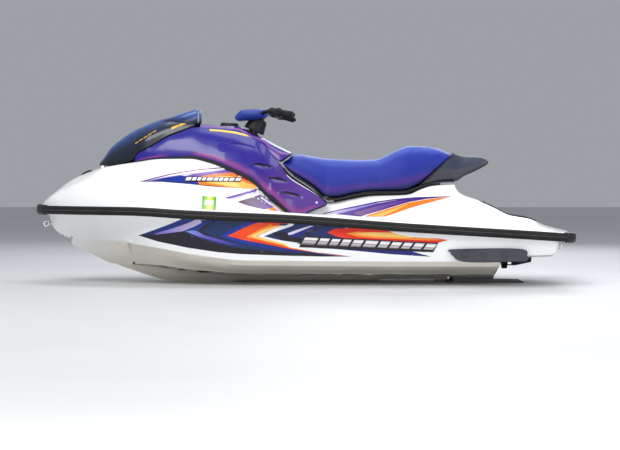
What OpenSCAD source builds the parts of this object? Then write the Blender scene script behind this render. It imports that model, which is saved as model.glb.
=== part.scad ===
// Personal watercraft, sit-down performance runabout, as an assembly of its real pieces.
// Millimetres. Bow towards -X, port side towards -Y, +Z up, keel and ride plate on Z = 0.

/* [Hull and deck] */
// Length over the rub rail
craft_l = 2930; // [2440:2:3520]
// Beam over the rub rail
beam = 1150; // [956:2:1380]
// Laminate thickness of hull and deck
shell_t = 9; // [6:1:12]
// Height of the rubber rub rail
rail_h = 46; // [38:1:54]
// Thickness of the rubber rub rail
rail_t = 28; // [22:1:34]
// Depth of the footwell floor above the keel
footwell_z = 215; // [205:1:250]
// Thickness of the foot mats
mat_t = 7; // [5:1:9]

/* [Seat] */
// Width of the seat at the widest place of its lower edge
seat_w = 524; // [440:4:560]
// Thickness of the pan under the cushion
pan_t = 8; // [5:1:10]
// Width of the engine hatch under the seat
hatch_w = 300; // [240:5:330]
// Length of the engine hatch
hatch_l = 560; // [460:5:600]

/* [Bow storage] */
// Width of the storage bin's mouth
bin_w = 300; // [240:5:320]
// Length of the storage bin's mouth
bin_l = 330; // [260:5:360]
// Depth of the storage bin
bin_d = 230; // [180:5:260]

/* [Steering] */
// Lean of the steering column from the vertical, in degrees
column_lean = 25; // [18:1:32]
// Width over the handlebar grips
bar_w = 780; // [680:10:860]
// Diameter of the handlebar tube
bar_d = 22; // [20:0.5:26]
// Diameter of the grips
grip_d = 34; // [30:1:38]
// Length of one grip
grip_l = 130; // [110:5:150]

/* [Jet pump] */
// Diameter of the impeller
impeller_d = 155; // [135:1:165]
// Gap between blade tips and the pump bore
tip_gap = 0.8; // [0.5:0.1:1.5]
// Height of the drive shaft above the keel
shaft_z = 152; // [148:1:165]
// Diameter of the drive shaft
shaft_d = 25; // [20:1:30]
// Bore at the outlet of the pump nozzle
outlet_d = 86; // [76:1:94]
// Number of impeller blades
blades = 3; // [3:1:5]
// Number of stator vanes
vanes = 7; // [5:1:9]

/* [Fittings] */
// Hole of the bow and stern eyes
eye_hole_d = 20; // [14:1:24]
// Diameter of an eye's bar
eye_bar_d = 10; // [8:1:12]
// Thickness of a sponson, out from the hull side
sponson_t = 34; // [26:1:42]
// Thickness of the cowling panels
panel_t = 8; // [5:1:10]

/* [Hidden] */
$fn = 48;

fit = 0.3;                    // seats and soft faces that lie against each other
kx = craft_l / 2930;          // the lines below are drawn at this length and this beam
ky = beam / 1150;
half_l = craft_l / 2;
bow_x = -half_l + rail_t;     // the shell's own ends, inside the rail
stern_x = half_l - rail_t;
transom_x = 1361 * kx;
step_x = 1050 * kx;           // where the planing bottom ends

// ---- curves: [position along the craft, value] at hand-chosen stations, joined without overshoot ----
function secant(k, i) = (k[i + 1][1] - k[i][1]) / (k[i + 1][0] - k[i][0]);
function slope(k, i) =
    i == 0 ? secant(k, 0)
    : i == len(k) - 1 ? secant(k, i - 1)
    : let (a = secant(k, i - 1), b = secant(k, i)) a * b <= 0 ? 0 : 2 * a * b / (a + b);
function span(k, x, i = 0) = i >= len(k) - 2 || x < k[i + 1][0] ? i : span(k, x, i + 1);
function curve(k, x) =
    x <= k[0][0] ? k[0][1]
    : x >= k[len(k) - 1][0] ? k[len(k) - 1][1]
    : let (i = span(k, x), h = k[i + 1][0] - k[i][0], t = (x - k[i][0]) / h)
        (1 + 2 * t) * (1 - t) ^ 2 * k[i][1] + t * (1 - t) ^ 2 * h * slope(k, i)
        + t ^ 2 * (3 - 2 * t) * k[i + 1][1] + t ^ 2 * (t - 1) * h * slope(k, i + 1);
// Heights keep their size; breadths follow the beam. Both follow the length.
function height(k, x) = curve(k, x / kx);
function breadth(k, x) = ky * curve(k, x / kx);

rail_line = [[-1465, 400], [-910, 396], [-584, 379], [-70, 357], [515, 315], [1387, 259], [1465, 252]];
outline = [[-1437, 0], [-1432, 40], [-1415, 88], [-1380, 140], [-1320, 205], [-1250, 262], [-1150, 327],
    [-1000, 405], [-800, 478], [-600, 520], [-350, 543], [-50, 547], [500, 547], [900, 535], [1150, 515],
    [1300, 495], [1390, 470], [1425, 440], [1437, 400]];
keel_z = [[-1437, 370], [-1395, 364], [-1385, 318], [-1350, 275], [-1306, 236], [-1271, 205],
    [-1150, 148], [-1042, 100], [-950, 70], [-839, 32], [-756, 10], [-690, 0], [1050, 0], [1062, 142],
    [1330, 152], [1361, 190]];
low_chine_y = [[-1437, 1], [-1042, 3], [-950, 90], [-873, 200], [-750, 372], [-588, 430], [-271, 466],
    [500, 470], [1050, 460], [1361, 430]];
low_chine_z = [[-1437, 371], [-1395, 365], [-1385, 319], [-1350, 276], [-1306, 237], [-1271, 206],
    [-1150, 149], [-1042, 101], [-950, 128], [-873, 158], [-750, 180], [-588, 146], [-271, 110],
    [1050, 104], [1062, 148], [1330, 158], [1361, 194]];
chine_y = [[-1437, 2], [-1300, 5], [-1185, 70], [-1100, 150], [-1000, 235], [-938, 285], [-850, 352],
    [-750, 408], [-588, 458], [-271, 496], [500, 500], [1050, 490], [1361, 458]];
chine_z = [[-1437, 372], [-1395, 366], [-1385, 322], [-1350, 282], [-1306, 250], [-1250, 238],
    [-1185, 232], [-1021, 232], [-938, 225], [-750, 199], [-588, 171], [-271, 137], [1050, 131],
    [1062, 160], [1330, 166], [1361, 198]];
topside_y = [[-1437, 3], [-1395, 6], [-1350, 85], [-1300, 140], [-1200, 225], [-1100, 292], [-1000, 348],
    [-800, 440], [-600, 500], [-350, 530], [-50, 538], [500, 538], [900, 526], [1150, 506], [1300, 486],
    [1361, 474]];

// Deck lines, from the centre out: tray or pedestal top, shoulder or pedestal foot, floor, gunwale.
tray_z = [[-1437, 423], [-1400, 462], [-1360, 492], [-1316, 528], [-1242, 574], [-1157, 608],
    [-1098, 628], [-1060, 628], [-905, 640], [-600, 655], [-480, 636], [-357, 590], [-254, 540],
    [-160, 470], [-84, 445], [145, 440], [270, 460], [384, 478], [575, 483], [656, 514], [710, 530],
    [836, 540], [845, 520], [869, 488], [963, 450], [1063, 402], [1122, 372], [1233, 352], [1326, 315],
    [1437, 288]];
tray_y = [[-1437, 4], [-1400, 40], [-1316, 60], [-1157, 95], [-1060, 150], [-905, 190], [-750, 245],
    [-560, 268], [-357, 268], [-160, 255], [145, 232], [600, 222], [710, 190], [836, 160], [963, 190],
    [1122, 260], [1437, 300]];
foot_y = [[-1437, 8], [-1400, 75], [-1316, 115], [-1157, 175], [-1060, 205], [-905, 220], [-750, 266],
    [-560, 290], [-357, 300], [-254, 305], [-160, 312], [-60, 322], [700, 312], [900, 300], [1122, 300],
    [1437, 340]];
foot_z = [[-1437, 422], [-1400, 458], [-1316, 516], [-1157, 588], [-1060, 636], [-905, 664], [-750, 684],
    [-600, 684], [-486, 658], [-413, 630], [-357, 604], [-254, 548], [-197, 492], [-160, 452],
    [-120, 418], [-84, 384], [-55, 320], [-20, 219], [0, 215], [700, 225], [950, 250], [1122, 330],
    [1233, 338], [1326, 306], [1437, 284]];
floor_y = [[-1437, 14], [-1400, 105], [-1316, 165], [-1157, 262], [-1000, 320], [-800, 385], [-560, 420],
    [-357, 435], [-254, 442], [-160, 455], [-60, 468], [700, 468], [950, 450], [1122, 430], [1300, 420],
    [1437, 370]];
floor_z = [[-1437, 421], [-1400, 448], [-1316, 498], [-1157, 552], [-1000, 580], [-800, 598], [-560, 590],
    [-357, 540], [-254, 490], [-197, 455], [-160, 436], [-120, 412], [-84, 382], [-55, 318], [-20, 217],
    [0, 213], [700, 223], [950, 246], [1122, 304], [1233, 318], [1326, 298], [1437, 281]];
crest_y = [[-1437, 18], [-1400, 112], [-1316, 196], [-1157, 305], [-1000, 378], [-800, 448], [-560, 490],
    [-357, 508], [-160, 512], [700, 512], [950, 500], [1122, 480], [1300, 455], [1400, 425], [1437, 385]];
crest_rise = [[-1437, 20], [-1400, 36], [-1316, 60], [-1157, 78], [-1000, 88], [-800, 96], [-560, 92],
    [-357, 72], [-200, 48], [-84, 38], [700, 38], [1050, 36], [1200, 30], [1437, 26]];

function rail_z(x) = height(rail_line, x);
// Hull, deck and rail share these knots of the outline, so that they meet along straight pieces.
edge_x = [-1436.9, -1436, -1433, -1428, -1420, -1408, -1392, -1360, -1320, -1260, -1200, -1120, -1040,
    -950, -860, -760, -650, -540, -400, -250, -50, 150, 340, 500, 650, 800, 950, 1080, 1200, 1290, 1350,
    1395, 1412, 1425, 1433, 1437];
edge_knots = [for (x = edge_x) [x * kx, max(6, breadth(outline, x * kx))]];
function shell_y(x) = lookup(x, edge_knots);
function floor_height(x, z) = z < 240 ? z + footwell_z - 215 : z;

// ---- lofts ----
hull_stations = [for (x = [-1436, -1425, -1410, -1395, -1385, -1350, -1306, -1271, -1230, -1185, -1120,
    -1042, -996, -950, -910, -873, -800, -750, -670, -588, -480, -380, -271, -150, 0, 170, 340, 500, 640,
    780, 900, 1000, 1050, 1062, 1150, 1240, 1330, 1361]) x * kx];
pedestal_x = [145, 194, 270, 340, 409, 440, 471, 508, 546, 575, 609, 656, 710, 750, 793, 836];
rear_mat_x = [990, 1063, 1122, 1180, 1233, 1280];
deck_stations = [for (x = concat([-1436, -1430, -1420, -1400, -1360, -1316, -1242, -1157, -1098, -1060,
    -980, -905, -826, -750, -680, -600, -540, -480, -413, -357, -300, -254, -197, -160, -120, -84, -60,
    -40, -20, 0, 70], pedestal_x, [848, 869, 915, 963], rear_mat_x, [1326, 1370, 1400, 1425, 1436])) x * kx];

// Both halves of a section from its half, which runs [y, z] from the centre out.
function both_sides(half) = concat(
    [for (i = [len(half) - 1:-1:1]) [-half[i][0], half[i][1]]], half);
// Each corner of a half section is cut back by r, or by a third of its sides where they are short.
function cut_corner(a, b, c, r) =
    let (u = a - b, v = c - b, ru = min(r, norm(u) / 3), rv = min(r, norm(v) / 3))
    [b + u * ru / max(norm(u), 1e-6), b + v * rv / max(norm(v), 1e-6)];
function eased(path, r, keep_from) = [for (i = [0:len(path) - 1])
    each i == 0 || i >= keep_from ? [path[i]] : cut_corner(path[i - 1], path[i], path[i + 1], r)];
function flipped(list) = [for (i = [len(list) - 1:-1:0]) list[i]];
// A closed [y, z] outline moved inwards by t; the outline runs so that its inside is on its right.
function unit(v) = v / max(norm(v), 1e-9);
function inward(a, b) = let (d = unit(b - a)) [d[1], -d[0]];
function inset(loop, t) = [for (i = [0:len(loop) - 1])
    let (n = len(loop), p = loop[(i + n - 1) % n], q = loop[i], r = loop[(i + 1) % n],
        a = inward(p, q), b = inward(q, r), m = a + b)
    q + m * t / max(0.5, (m * m) / 2)];
function station(x, section) = [for (p = section) [x, p[0], p[1]]];
// Skin over rings of equal length, with flat ends. Its diagonals are the same on port and starboard.
module loft(rings) {
    n = len(rings[0]);
    m = len(rings);
    polyhedron(
        points = [for (r = rings) each r],
        faces = concat(
            [[for (i = [0:n - 1]) i]],
            [for (s = [0:m - 2], i = [0:n - 1]) let (j = (i + 1) % n, a = s * n, b = a + n)
                each rings[s][i][1] + rings[s][j][1] < 0
                    ? [[a + i, b + i, b + j], [a + i, b + j, a + j]]
                    : [[a + i, b + i, a + j], [a + j, b + i, b + j]]],
            [[for (i = [n - 1:-1:0]) (m - 1) * n + i]]));
}
// One mesh from a shell's cuts, so that its many small faces are not rebuilt one by one.
module as_mesh() resize([0, 0, 0]) children();

// ---- hull ----
strake_in = 0.42;             // the lifting strake's place, as shares of the bottom's half breadth
strake_out = 0.52;
function hull_half(x) =
    let (k = [0, height(keel_z, x)],
        b = [breadth(low_chine_y, x), height(low_chine_z, x)],
        c = [breadth(chine_y, x), height(chine_z, x)],
        z_flange = rail_z(x) - rail_h / 2,
        h = [min(breadth(topside_y, x), shell_y(x) - 1), z_flange - 2],
        s_in = k + (b - k) * strake_in,
        s_out = k + (b - k) * strake_out)
    [k, s_in, [s_out[0], min(s_out[1], s_in[1] + 3)], s_out + [2, 0], b, c,
        [(c[0] + h[0]) / 2 + 4 * ky, (c[1] + h[1]) / 2], h,
        [shell_y(x) - fit, z_flange], [shell_y(x) - fit, rail_z(x) - fit]];
function hull_section(x) = both_sides(hull_half(x));
cavity_from = -1150 * kx;
hull_cavity_stations = concat([for (x = hull_stations) if (x >= cavity_from && x < step_x - 20) x],
    [step_x - shell_t]);
tunnel_w = impeller_d + 2 * 70;     // pump tunnel under the stern
tunnel_top = shaft_z + impeller_d / 2 + 48;
tunnel_x = 800 * kx;
slot_w = impeller_d + 4;            // intake opening in the bottom
slot_x = 430 * kx;
slot_l = tunnel_x - 60 - slot_x;

function cavity(x, t, rise) =
    let (k = [0, height(keel_z, x) + t * 1.3],
        b = [breadth(low_chine_y, x) - t, height(low_chine_z, x) + t * 1.3],
        c = [breadth(chine_y, x) - t, height(chine_z, x) + t],
        h = [min(breadth(topside_y, x), shell_y(x) - 1) - t, rail_z(x) - rail_h / 2])
    [k, b, c, h, [h[0], rail_z(x) + rise]];
module lower_hull() color("white") as_mesh() difference() {
    union() {
        difference() {
            loft([for (x = hull_stations) station(x, hull_section(x))]);
            loft([for (x = hull_cavity_stations) station(x, both_sides(cavity(x, shell_t, 60)))]);
            // the after body, above the stepped bottom
            loft([for (x = [step_x - shell_t - 1, 1330 * kx, transom_x - shell_t])
                station(x, both_sides([[0, 142 + 2 * shell_t + (x - step_x) * 0.05],
                    [breadth(low_chine_y, x) - shell_t, 150 + 2 * shell_t],
                    [breadth(chine_y, x) - shell_t, 168 + 2 * shell_t],
                    [breadth(topside_y, x) - shell_t, rail_z(x) - rail_h / 2],
                    [breadth(topside_y, x) - shell_t, rail_z(x) + 60]]))]);
        }
        translate([tunnel_x - shell_t, -tunnel_w / 2 - shell_t, 60])
            cube([step_x - tunnel_x + shell_t, tunnel_w + 2 * shell_t, tunnel_top + shell_t - 60]);
        translate([step_x - shell_t, -tunnel_w / 2 - shell_t, 128])
            cube([transom_x - step_x, tunnel_w + 2 * shell_t, tunnel_top + shell_t - 128]);
        duct(8, 24);
        translate([transom_x - 2 * shell_t, -tunnel_w / 2 - shell_t, 200])
            cube([2 * shell_t, tunnel_w + 2 * shell_t, tunnel_top + shell_t - 200]);
    }
    translate([tunnel_x, -tunnel_w / 2, -20]) cube([transom_x, tunnel_w, tunnel_top + 20]);
    duct(0, -20);
    bar(shaft_d + 10, slot_x - 60, tunnel_x);
}
// Water intake, from the opening in the bottom up to the pump
module duct(grow, low) hull() {
    translate([slot_x - grow, -slot_w / 2 - grow, low])
        cube([slot_l + 2 * grow, slot_w + 2 * grow, 38 - low - grow]);
    translate([tunnel_x - 22, 0, shaft_z]) rotate([0, 90, 0])
        cylinder(d = impeller_d + 2 * tip_gap + 2 * grow, h = grow > 0 ? 16 : 30, $fn = 40);
}

// ---- deck ----
function deck_half(x) =
    let (edge = [shell_y(x) - fit, rail_z(x) + rail_h / 2],
        a1 = [min(breadth(tray_y, x), edge[0] * 0.5), height(tray_z, x)],
        a2 = [min(breadth(foot_y, x), edge[0] * 0.7), floor_height(x, height(foot_z, x))],
        a3 = [min(breadth(floor_y, x), edge[0] * 0.87), floor_height(x, height(floor_z, x))],
        a4 = [min(breadth(crest_y, x), edge[0] * 0.95), rail_z(x) + height(crest_rise, x)],
        a5 = [edge[0] - min(4, edge[0] * 0.02), edge[1] + 4])
    concat(eased([[0, a1[1]], a1, a2, a3, a4, a5, edge], 16, 5), [[edge[0], rail_z(x) + fit]]);
function deck_section(x) = flipped(both_sides(deck_half(x)));
nose_x = -1360 * kx;                // forward of this the deck is solid
hatch_x = 190 * kx;                 // front edge of the engine hatch
bin_x = -985 * kx;                  // front edge of the storage bin
column_x = -373 * kx;               // the steering column passes through the deck here
module deck() color("white") as_mesh() difference() {
    union() {
        loft([for (x = deck_stations) if (x <= nose_x) station(x, deck_section(x))]);
        panel([for (x = deck_stations) if (x >= nose_x) [x, both_sides(deck_half(x))]], shell_t);
        loft([for (x = deck_stations) if (x >= 1425 * kx) station(x, deck_section(x))]);
    }
    translate([hatch_x, -hatch_w / 2, 300]) cube([hatch_l, hatch_w, 400]);
    translate([bin_x, -bin_w / 2, 300]) cube([bin_l, bin_w, 500]);
    translate([column_x - 60, -40, 300]) cube([120, 80, 500]);
}

// Height of the deck's outside at a place, read off its half section.
function across(half, y, i = 0) =
    i >= len(half) - 2 || y <= half[i + 1][0]
    ? half[i][1] + (half[i + 1][1] - half[i][1]) * (y - half[i][0]) / max(1e-6, half[i + 1][0] - half[i][0])
    : across(half, y, i + 1);
function deck_top(x, y) = across(deck_half(x), abs(y));

// ---- helpers for panels, rods and strips ----
// The inner side of an open line of a panel of thickness t; its inside is on the line's right.
function inner_line(p, t) = [for (i = [0:len(p) - 1])
    let (a = i == 0 ? inward(p[0], p[1]) : inward(p[i - 1], p[i]),
        b = i == len(p) - 1 ? a : inward(p[i], p[i + 1]), m = a + b)
    p[i] + m * t / max(0.5, (m * m) / 2)];
function panel_ring(line, t) = flipped(concat(line, flipped(inner_line(line, t))));
module panel(xs, t) loft([for (i = [0:len(xs) - 1]) station(xs[i][0], panel_ring(xs[i][1], t))]);
// Straight round bar from p to q
module rod(p, q, d) {
    v = q - p;
    translate(p) rotate([0, acos(v[2] / norm(v)), atan2(v[1], v[0])]) cylinder(d = d, h = norm(v));
}
// Bent round bar through points, n-sided
module bent_bar(points, d, n = 16) loft([for (i = [0:len(points) - 1])
    let (dir = unit(points[min(i + 1, len(points) - 1)] - points[max(i - 1, 0)]),
        u = unit(cross([0, 0, 1], dir)), v = cross(dir, u))
    [for (k = [0:n - 1]) points[i] + d / 2 * (cos(k * 360 / n) * u + sin(k * 360 / n) * v)]]);
module both() { children(); mirror([0, 1, 0]) children(); }
module bar(d, from, to) translate([from, 0, shaft_z]) rotate([0, 90, 0]) cylinder(d = d, h = to - from);
// A plate that follows the deck between two distances from the centre, lying on it
module deck_plate(xs, y_in, y_out, t, lift) {
    loft([for (x = xs) station(x, [
        [y_in, deck_top(x, y_in) + lift], [y_out, deck_top(x, y_out) + lift],
        [y_out, deck_top(x, y_out) + lift + t], [y_in, deck_top(x, y_in) + lift + t]])]);
}

// ---- rub rail and bumpers: a D section swept round the outline ----
function outline_point(x) = [x, shell_y(x)];
function normal_at(path, i) =
    let (a = path[max(0, i - 1)], b = path[min(len(path) - 1, i + 1)], d = unit(b - a)) [-d[1], d[0]];
d_section = [[0, -1], [0.55, -1], [0.92, -0.62], [1, 0], [0.92, 0.62], [0.55, 1], [0, 1]];
// The band stands fit outside the shell
module rail_sweep(path, thick, high) loft([for (i = [0:len(path) - 1])
    let (n = normal_at(path, i), z = rail_z(path[i][0]))
    [for (d = d_section) let (out = fit + d[0] * (thick - fit))
        [path[i][0] + n[0] * out, path[i][1] + n[1] * out, z + d[1] * high / 2]]]);
bow_wrap_x = -1392 * kx;
stern_wrap_x = 1395 * kx;
rail_path = [for (x = edge_x) if (x * kx >= bow_wrap_x && x * kx <= stern_wrap_x) outline_point(x * kx)];
bow_path = [for (x = edge_x) if (x * kx < bow_wrap_x) outline_point(x * kx)];
module rub_rail() color([0.10, 0.10, 0.11]) both() rail_sweep(rail_path, rail_t, rail_h);
module bow_bumper() color([0.09, 0.09, 0.10]) {
    bow_half = concat(bow_path, [outline_point(bow_wrap_x - 0.4)]);
    full = concat([for (p = flipped(bow_half)) [p[0], -p[1]]], bow_half);
    rail_sweep(full, rail_t, rail_h + 6);
}
stern_corner = concat([stern_wrap_x + 0.4], [for (x = edge_x) if (x * kx > stern_wrap_x) x * kx]);
module stern_bumpers() color([0.09, 0.09, 0.10]) both()
    rail_sweep(concat([for (x = stern_corner) outline_point(x)],
        [for (y = [30, 120, 240 * ky]) [1437 * kx, shell_y(1437 * kx) - y]]), rail_t, rail_h + 6);

// ---- hood: the storage lid over the bow, with the mirror pods on its rear corners ----
hood_top = [[-1112, 660], [-1091, 684], [-1048, 743], [-1001, 782], [-916, 837], [-846, 868], [-791, 889],
    [-729, 906], [-665, 914], [-575, 912]];
hood_edge_y = [[-1112, 40], [-1086, 72], [-1048, 108], [-986, 155], [-905, 200], [-827, 221], [-721, 222],
    [-653, 214], [-575, 202]];
hood_edge_z = [[-1112, 641], [-1086, 642], [-986, 656], [-915, 674], [-885, 716], [-827, 741],
    [-721, 802], [-653, 829], [-575, 858]];
hood_stations = [for (x = [-1112, -1100, -1086, -1066, -1048, -1020, -986, -950, -915, -885, -856, -827,
    -775, -721, -687, -653, -614, -575]) x * kx];
function hood_half(x) =
    let (zt = height(hood_top, x), ye = breadth(hood_edge_y, x), ze = height(hood_edge_z, x), d = zt - ze)
    [[0, zt], [ye * 0.32, zt - d * 0.02], [ye * 0.56, zt - d * 0.07], [ye * 0.78, zt - d * 0.28],
        [ye * 0.93, zt - d * 0.6], [ye, ze]];
pod_y = 150 * ky;
module hood() color([0.08, 0.10, 0.22]) as_mesh() {
    difference() {
        panel([for (x = hood_stations) [x, both_sides(hood_half(x))]], panel_t);
        // slots that the hinge's leaves stand in when the hood is up
        both() translate([hinge_x - 40, hinge_y + 3.8, hinge_z - 30]) cube([54, leaf_w + 3.2, 60]);
    }
    hood_lugs();
    both() hull() {
        translate([-760 * kx, pod_y - 20, 868]) sphere(d = 40, $fn = 16);
        translate([-600 * kx, pod_y + 45, 880]) sphere(d = 36, $fn = 16);
        translate([-600 * kx, pod_y - 35, 885]) sphere(d = 36, $fn = 16);
        translate([-577 * kx, pod_y - 45, 872]) cube([15, 100, 80]);
    }
}
module mirror_glasses() color([0.75, 0.78, 0.82]) both()
    translate([-577 * kx + 15 + fit, pod_y - 37, 878]) cube([3, 84, 66]);
hinge_x = -1098 * kx;
hinge_z = 656;
hinge_y = 14;
hinge_pin_d = 6;
leaf_w = 6;
module hood_hinge() color([0.5, 0.5, 0.52]) {
    both() translate([hinge_x - 6, hinge_y + 5, deck_top(hinge_x, hinge_y) + fit])
        cube([12, leaf_w, hinge_z - deck_top(hinge_x, hinge_y) - fit + 4]);
    translate([hinge_x, 0, hinge_z]) rotate([90, 0, 0])
        cylinder(d = hinge_pin_d, h = 2 * (hinge_y + 5) + 1, center = true);
}
module hood_lugs() both() translate([hinge_x, hinge_y, hinge_z]) rotate([90, 0, 0])
    linear_extrude(7, center = true) difference() {
        polygon([[-6, -5], [6, -6], [12, 4], [40, 60], [24, 48], [0, 9], [-6, 5]]);
        circle(d = hinge_pin_d + 1, $fn = 24);
    }

// ---- side covers and console top ----
cover_top_y = [[-905, 205], [-827, 226], [-721, 227], [-653, 219], [-570, 207], [-450, 198], [-342, 192],
    [-273, 188], [-202, 196], [-160, 214], [-116, 236], [-66, 252], [10, 264], [66, 272], [139, 283]];
cover_top_z = [[-905, 672], [-885, 705], [-827, 733], [-721, 794], [-653, 821], [-570, 848], [-450, 839],
    [-342, 824], [-273, 796], [-202, 752], [-160, 700], [-116, 650], [-85, 611], [-66, 590], [10, 538],
    [66, 500], [139, 441]];
cover_low_y = [[-905, 212], [-826, 240], [-752, 260], [-679, 272], [-606, 282], [-558, 288], [-486, 294],
    [-413, 304], [-357, 308], [-292, 312], [-254, 318], [-197, 330], [-159, 338], [-122, 340], [-84, 338],
    [-20, 325], [46, 308], [139, 288]];
// Forward of the footwell the lower edge lies on the deck; in the footwell it hangs free.
cover_free_z = [[-159, 464], [-122, 430], [-84, 395], [-45, 366], [-20, 358], [15, 368], [46, 392],
    [130, 426], [139, 432]];
function cover_low(x) = let (y = breadth(cover_low_y, x), f = smooth((x / kx + 200) / 60))
    [y, (1 - f) * (deck_top(x, y) + 3) + f * height(cover_free_z, x)];
function smooth(t) = let (u = max(0, min(1, t))) u * u * (3 - 2 * u);
cover_stations = [for (x = [-902, -885, -856, -826, -790, -750, -680, -600, -540, -480, -413, -357, -300,
    -254, -225, -197, -160, -120, -103, -84, -45, -20, 15, 46, 90, 134]) x * kx];
function cover_half(x) =
    let (u = [breadth(cover_top_y, x), height(cover_top_z, x)],
        l = cover_low(x), d = l - u)
    [u, u + [d[0] * 0.42, d[1] * 0.25], u + [d[0] * 0.74, d[1] * 0.55], u + [d[0] * 0.93, d[1] * 0.8], l];
module side_cover() as_mesh() panel([for (x = cover_stations) [x, cover_half(x)]], panel_t);
module side_cover_port() color([0.05, 0.12, 0.55]) mirror([0, 1, 0]) side_cover();
module side_cover_starboard() color([0.05, 0.12, 0.55]) side_cover();

console_z = [[-549, 870], [-540, 870], [-451, 862], [-342, 856], [-300, 838], [-273, 818], [-202, 792],
    [-160, 769], [-101, 739], [-50, 712]];
console_edge_y = [[-549, 200.8], [-450, 194.9], [-342, 189], [-273, 185.4], [-202, 193.2], [-160, 211.4],
    [-116, 229], [-80, 218], [-50, 192]];
console_edge_z = [[-549, 846.5], [-450, 839.8], [-342, 824.8], [-273, 796.8], [-202, 752.8],
    [-160, 701.5], [-116, 667], [-80, 689], [-50, 708]];
console_stations = [for (x = [-549, -525, -495, -451, -395, -342, -300, -273, -235, -202, -160, -130,
    -101, -75, -52]) x * kx];
function console_half(x) =
    let (zt = height(console_z, x), ye = breadth(console_edge_y, x), ze = height(console_edge_z, x),
        d = zt - ze)
    [[0, zt], [ye * 0.4, zt - d * 0.03], [ye * 0.72, zt - d * 0.16], [ye * 0.92, zt - d * 0.5], [ye, ze]];
// Steering axis, from where it meets the console
column_top = [-232 * kx, 0, 900];
column_dir = [sin(column_lean), 0, cos(column_lean)];
column_d = 54;
column_hole_d = column_d + 14;
module on_column() translate(column_top) rotate([0, column_lean, 0]) children();
module console_top() color([0.04, 0.10, 0.45]) difference() {
    panel([for (x = console_stations) [x, both_sides(console_half(x))]], panel_t);
    on_column() translate([0, 0, -260]) cylinder(d = column_hole_d, h = 400);
}
bearing_h = 62;
bearing_from = -326;                // along the column, down from its top
module steering_bearing() color([0.2, 0.2, 0.21]) difference() {
    union() {
        loft([for (x = [column_x - 84, column_x - 40, column_x, column_x + 40, column_x + 84])
            let (z = max(deck_top(x - 1, 0), deck_top(x, 0)) + 0.6)
            station(x, [[-66, z], [66, z], [66, z + 8], [-66, z + 8]])]);
        on_column() translate([0, 0, bearing_from]) cylinder(d = column_d + 20, h = bearing_h);
    }
    on_column() translate([0, 0, bearing_from - 60]) cylinder(d = column_d + 0.2, h = bearing_h + 120);
}
module instrument_display() color([0.12, 0.12, 0.13])
    translate([-398 * kx, 0, height(console_z, -398 * kx) + 1]) rotate([0, 4, 0]) {
        cylinder(d = 96, h = 12);
        translate([0, 0, 12]) cylinder(d1 = 96, d2 = 84, h = 5, $fn = 48);
    }

// ---- bow storage and engine bay ----
bin_t = 3;
bin_top = 644;
module storage_bin() color([0.13, 0.13, 0.14]) {
    x0 = bin_x + fit;
    w = bin_w - 2 * fit;
    l = bin_l - 2 * fit;
    difference() {
        translate([x0, -w / 2, bin_top - bin_d]) cube([l, w, bin_d]);
        translate([x0 + bin_t, -w / 2 + bin_t, bin_top - bin_d + bin_t])
            cube([l - 2 * bin_t, w - 2 * bin_t, bin_d]);
    }
}
// A curve's height on the straight pieces between the shared stations
function on_stations(k, x) = lookup(x, [for (v = pedestal_x) [v * kx, height(k, v * kx)]]);
seat_low_y = [[-112, 210], [-66, 238], [10, 256], [66, 261], [145, 262], [194, 258], [270, 250],
    [384, 242], [534, 232], [575, 226], [609, 214], [656, 200], [710, 182], [780, 170], [836, 160],
    [940, 140], [1037, 112]];
seat_low_z = [[-112, 660], [-66, 602], [10, 550], [66, 512], [145, 450], [194, 452], [270, 469],
    [384, 487], [534, 489], [575, 492], [609, 508], [656, 526], [710, 540], [780, 549], [836, 551],
    [887, 582], [940, 606], [990, 631], [1022, 650], [1037, 658]];
seat_top_z = [[-112, 664], [-75, 684], [-43, 699], [10, 700], [49, 692], [160, 677], [316, 671],
    [409, 673], [471, 696], [546, 734], [592, 748], [677, 745], [793, 727], [850, 708], [900, 694],
    [988, 690], [1022, 676], [1037, 664]];
function seat_y(x) = seat_w / 524 * curve(seat_low_y, x / kx);
gasket_w = 12;
gasket_stations = concat([hatch_x - 8],
    [for (x = pedestal_x) if (x * kx > hatch_x && x * kx < hatch_x + hatch_l) x * kx],
    [hatch_x + hatch_l + 8]);
module hatch_gasket() color([0.07, 0.07, 0.07]) {
    y0 = hatch_w / 2 + 2;
    both() loft([for (x = gasket_stations) let (low = on_stations(tray_z, x) + fit,
        top = on_stations(seat_low_z, x) - fit)
        station(x, [[y0, low], [y0 + gasket_w, low], [y0 + gasket_w, top], [y0, top]])]);
}
engine_l = 560;
engine_w = 290;
engine_top = 400;
engine_x = -60 * kx;
engine_low = 80;
module engine_block() color([0.35, 0.36, 0.38])
    translate([engine_x, -engine_w / 2, engine_low]) cube([engine_l, engine_w, engine_top - engine_low]);
module engine_mounts() color([0.2, 0.2, 0.2]) both() for (x = [engine_x + 70, engine_x + engine_l - 70])
    translate([x, 110, 0]) {
        z0 = 135 * height(low_chine_z, x) / breadth(low_chine_y, x) + shell_t * 1.3 + 1;
        translate([0, 0, z0]) cylinder(d = 50, h = engine_low - fit - z0);
    }

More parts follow.
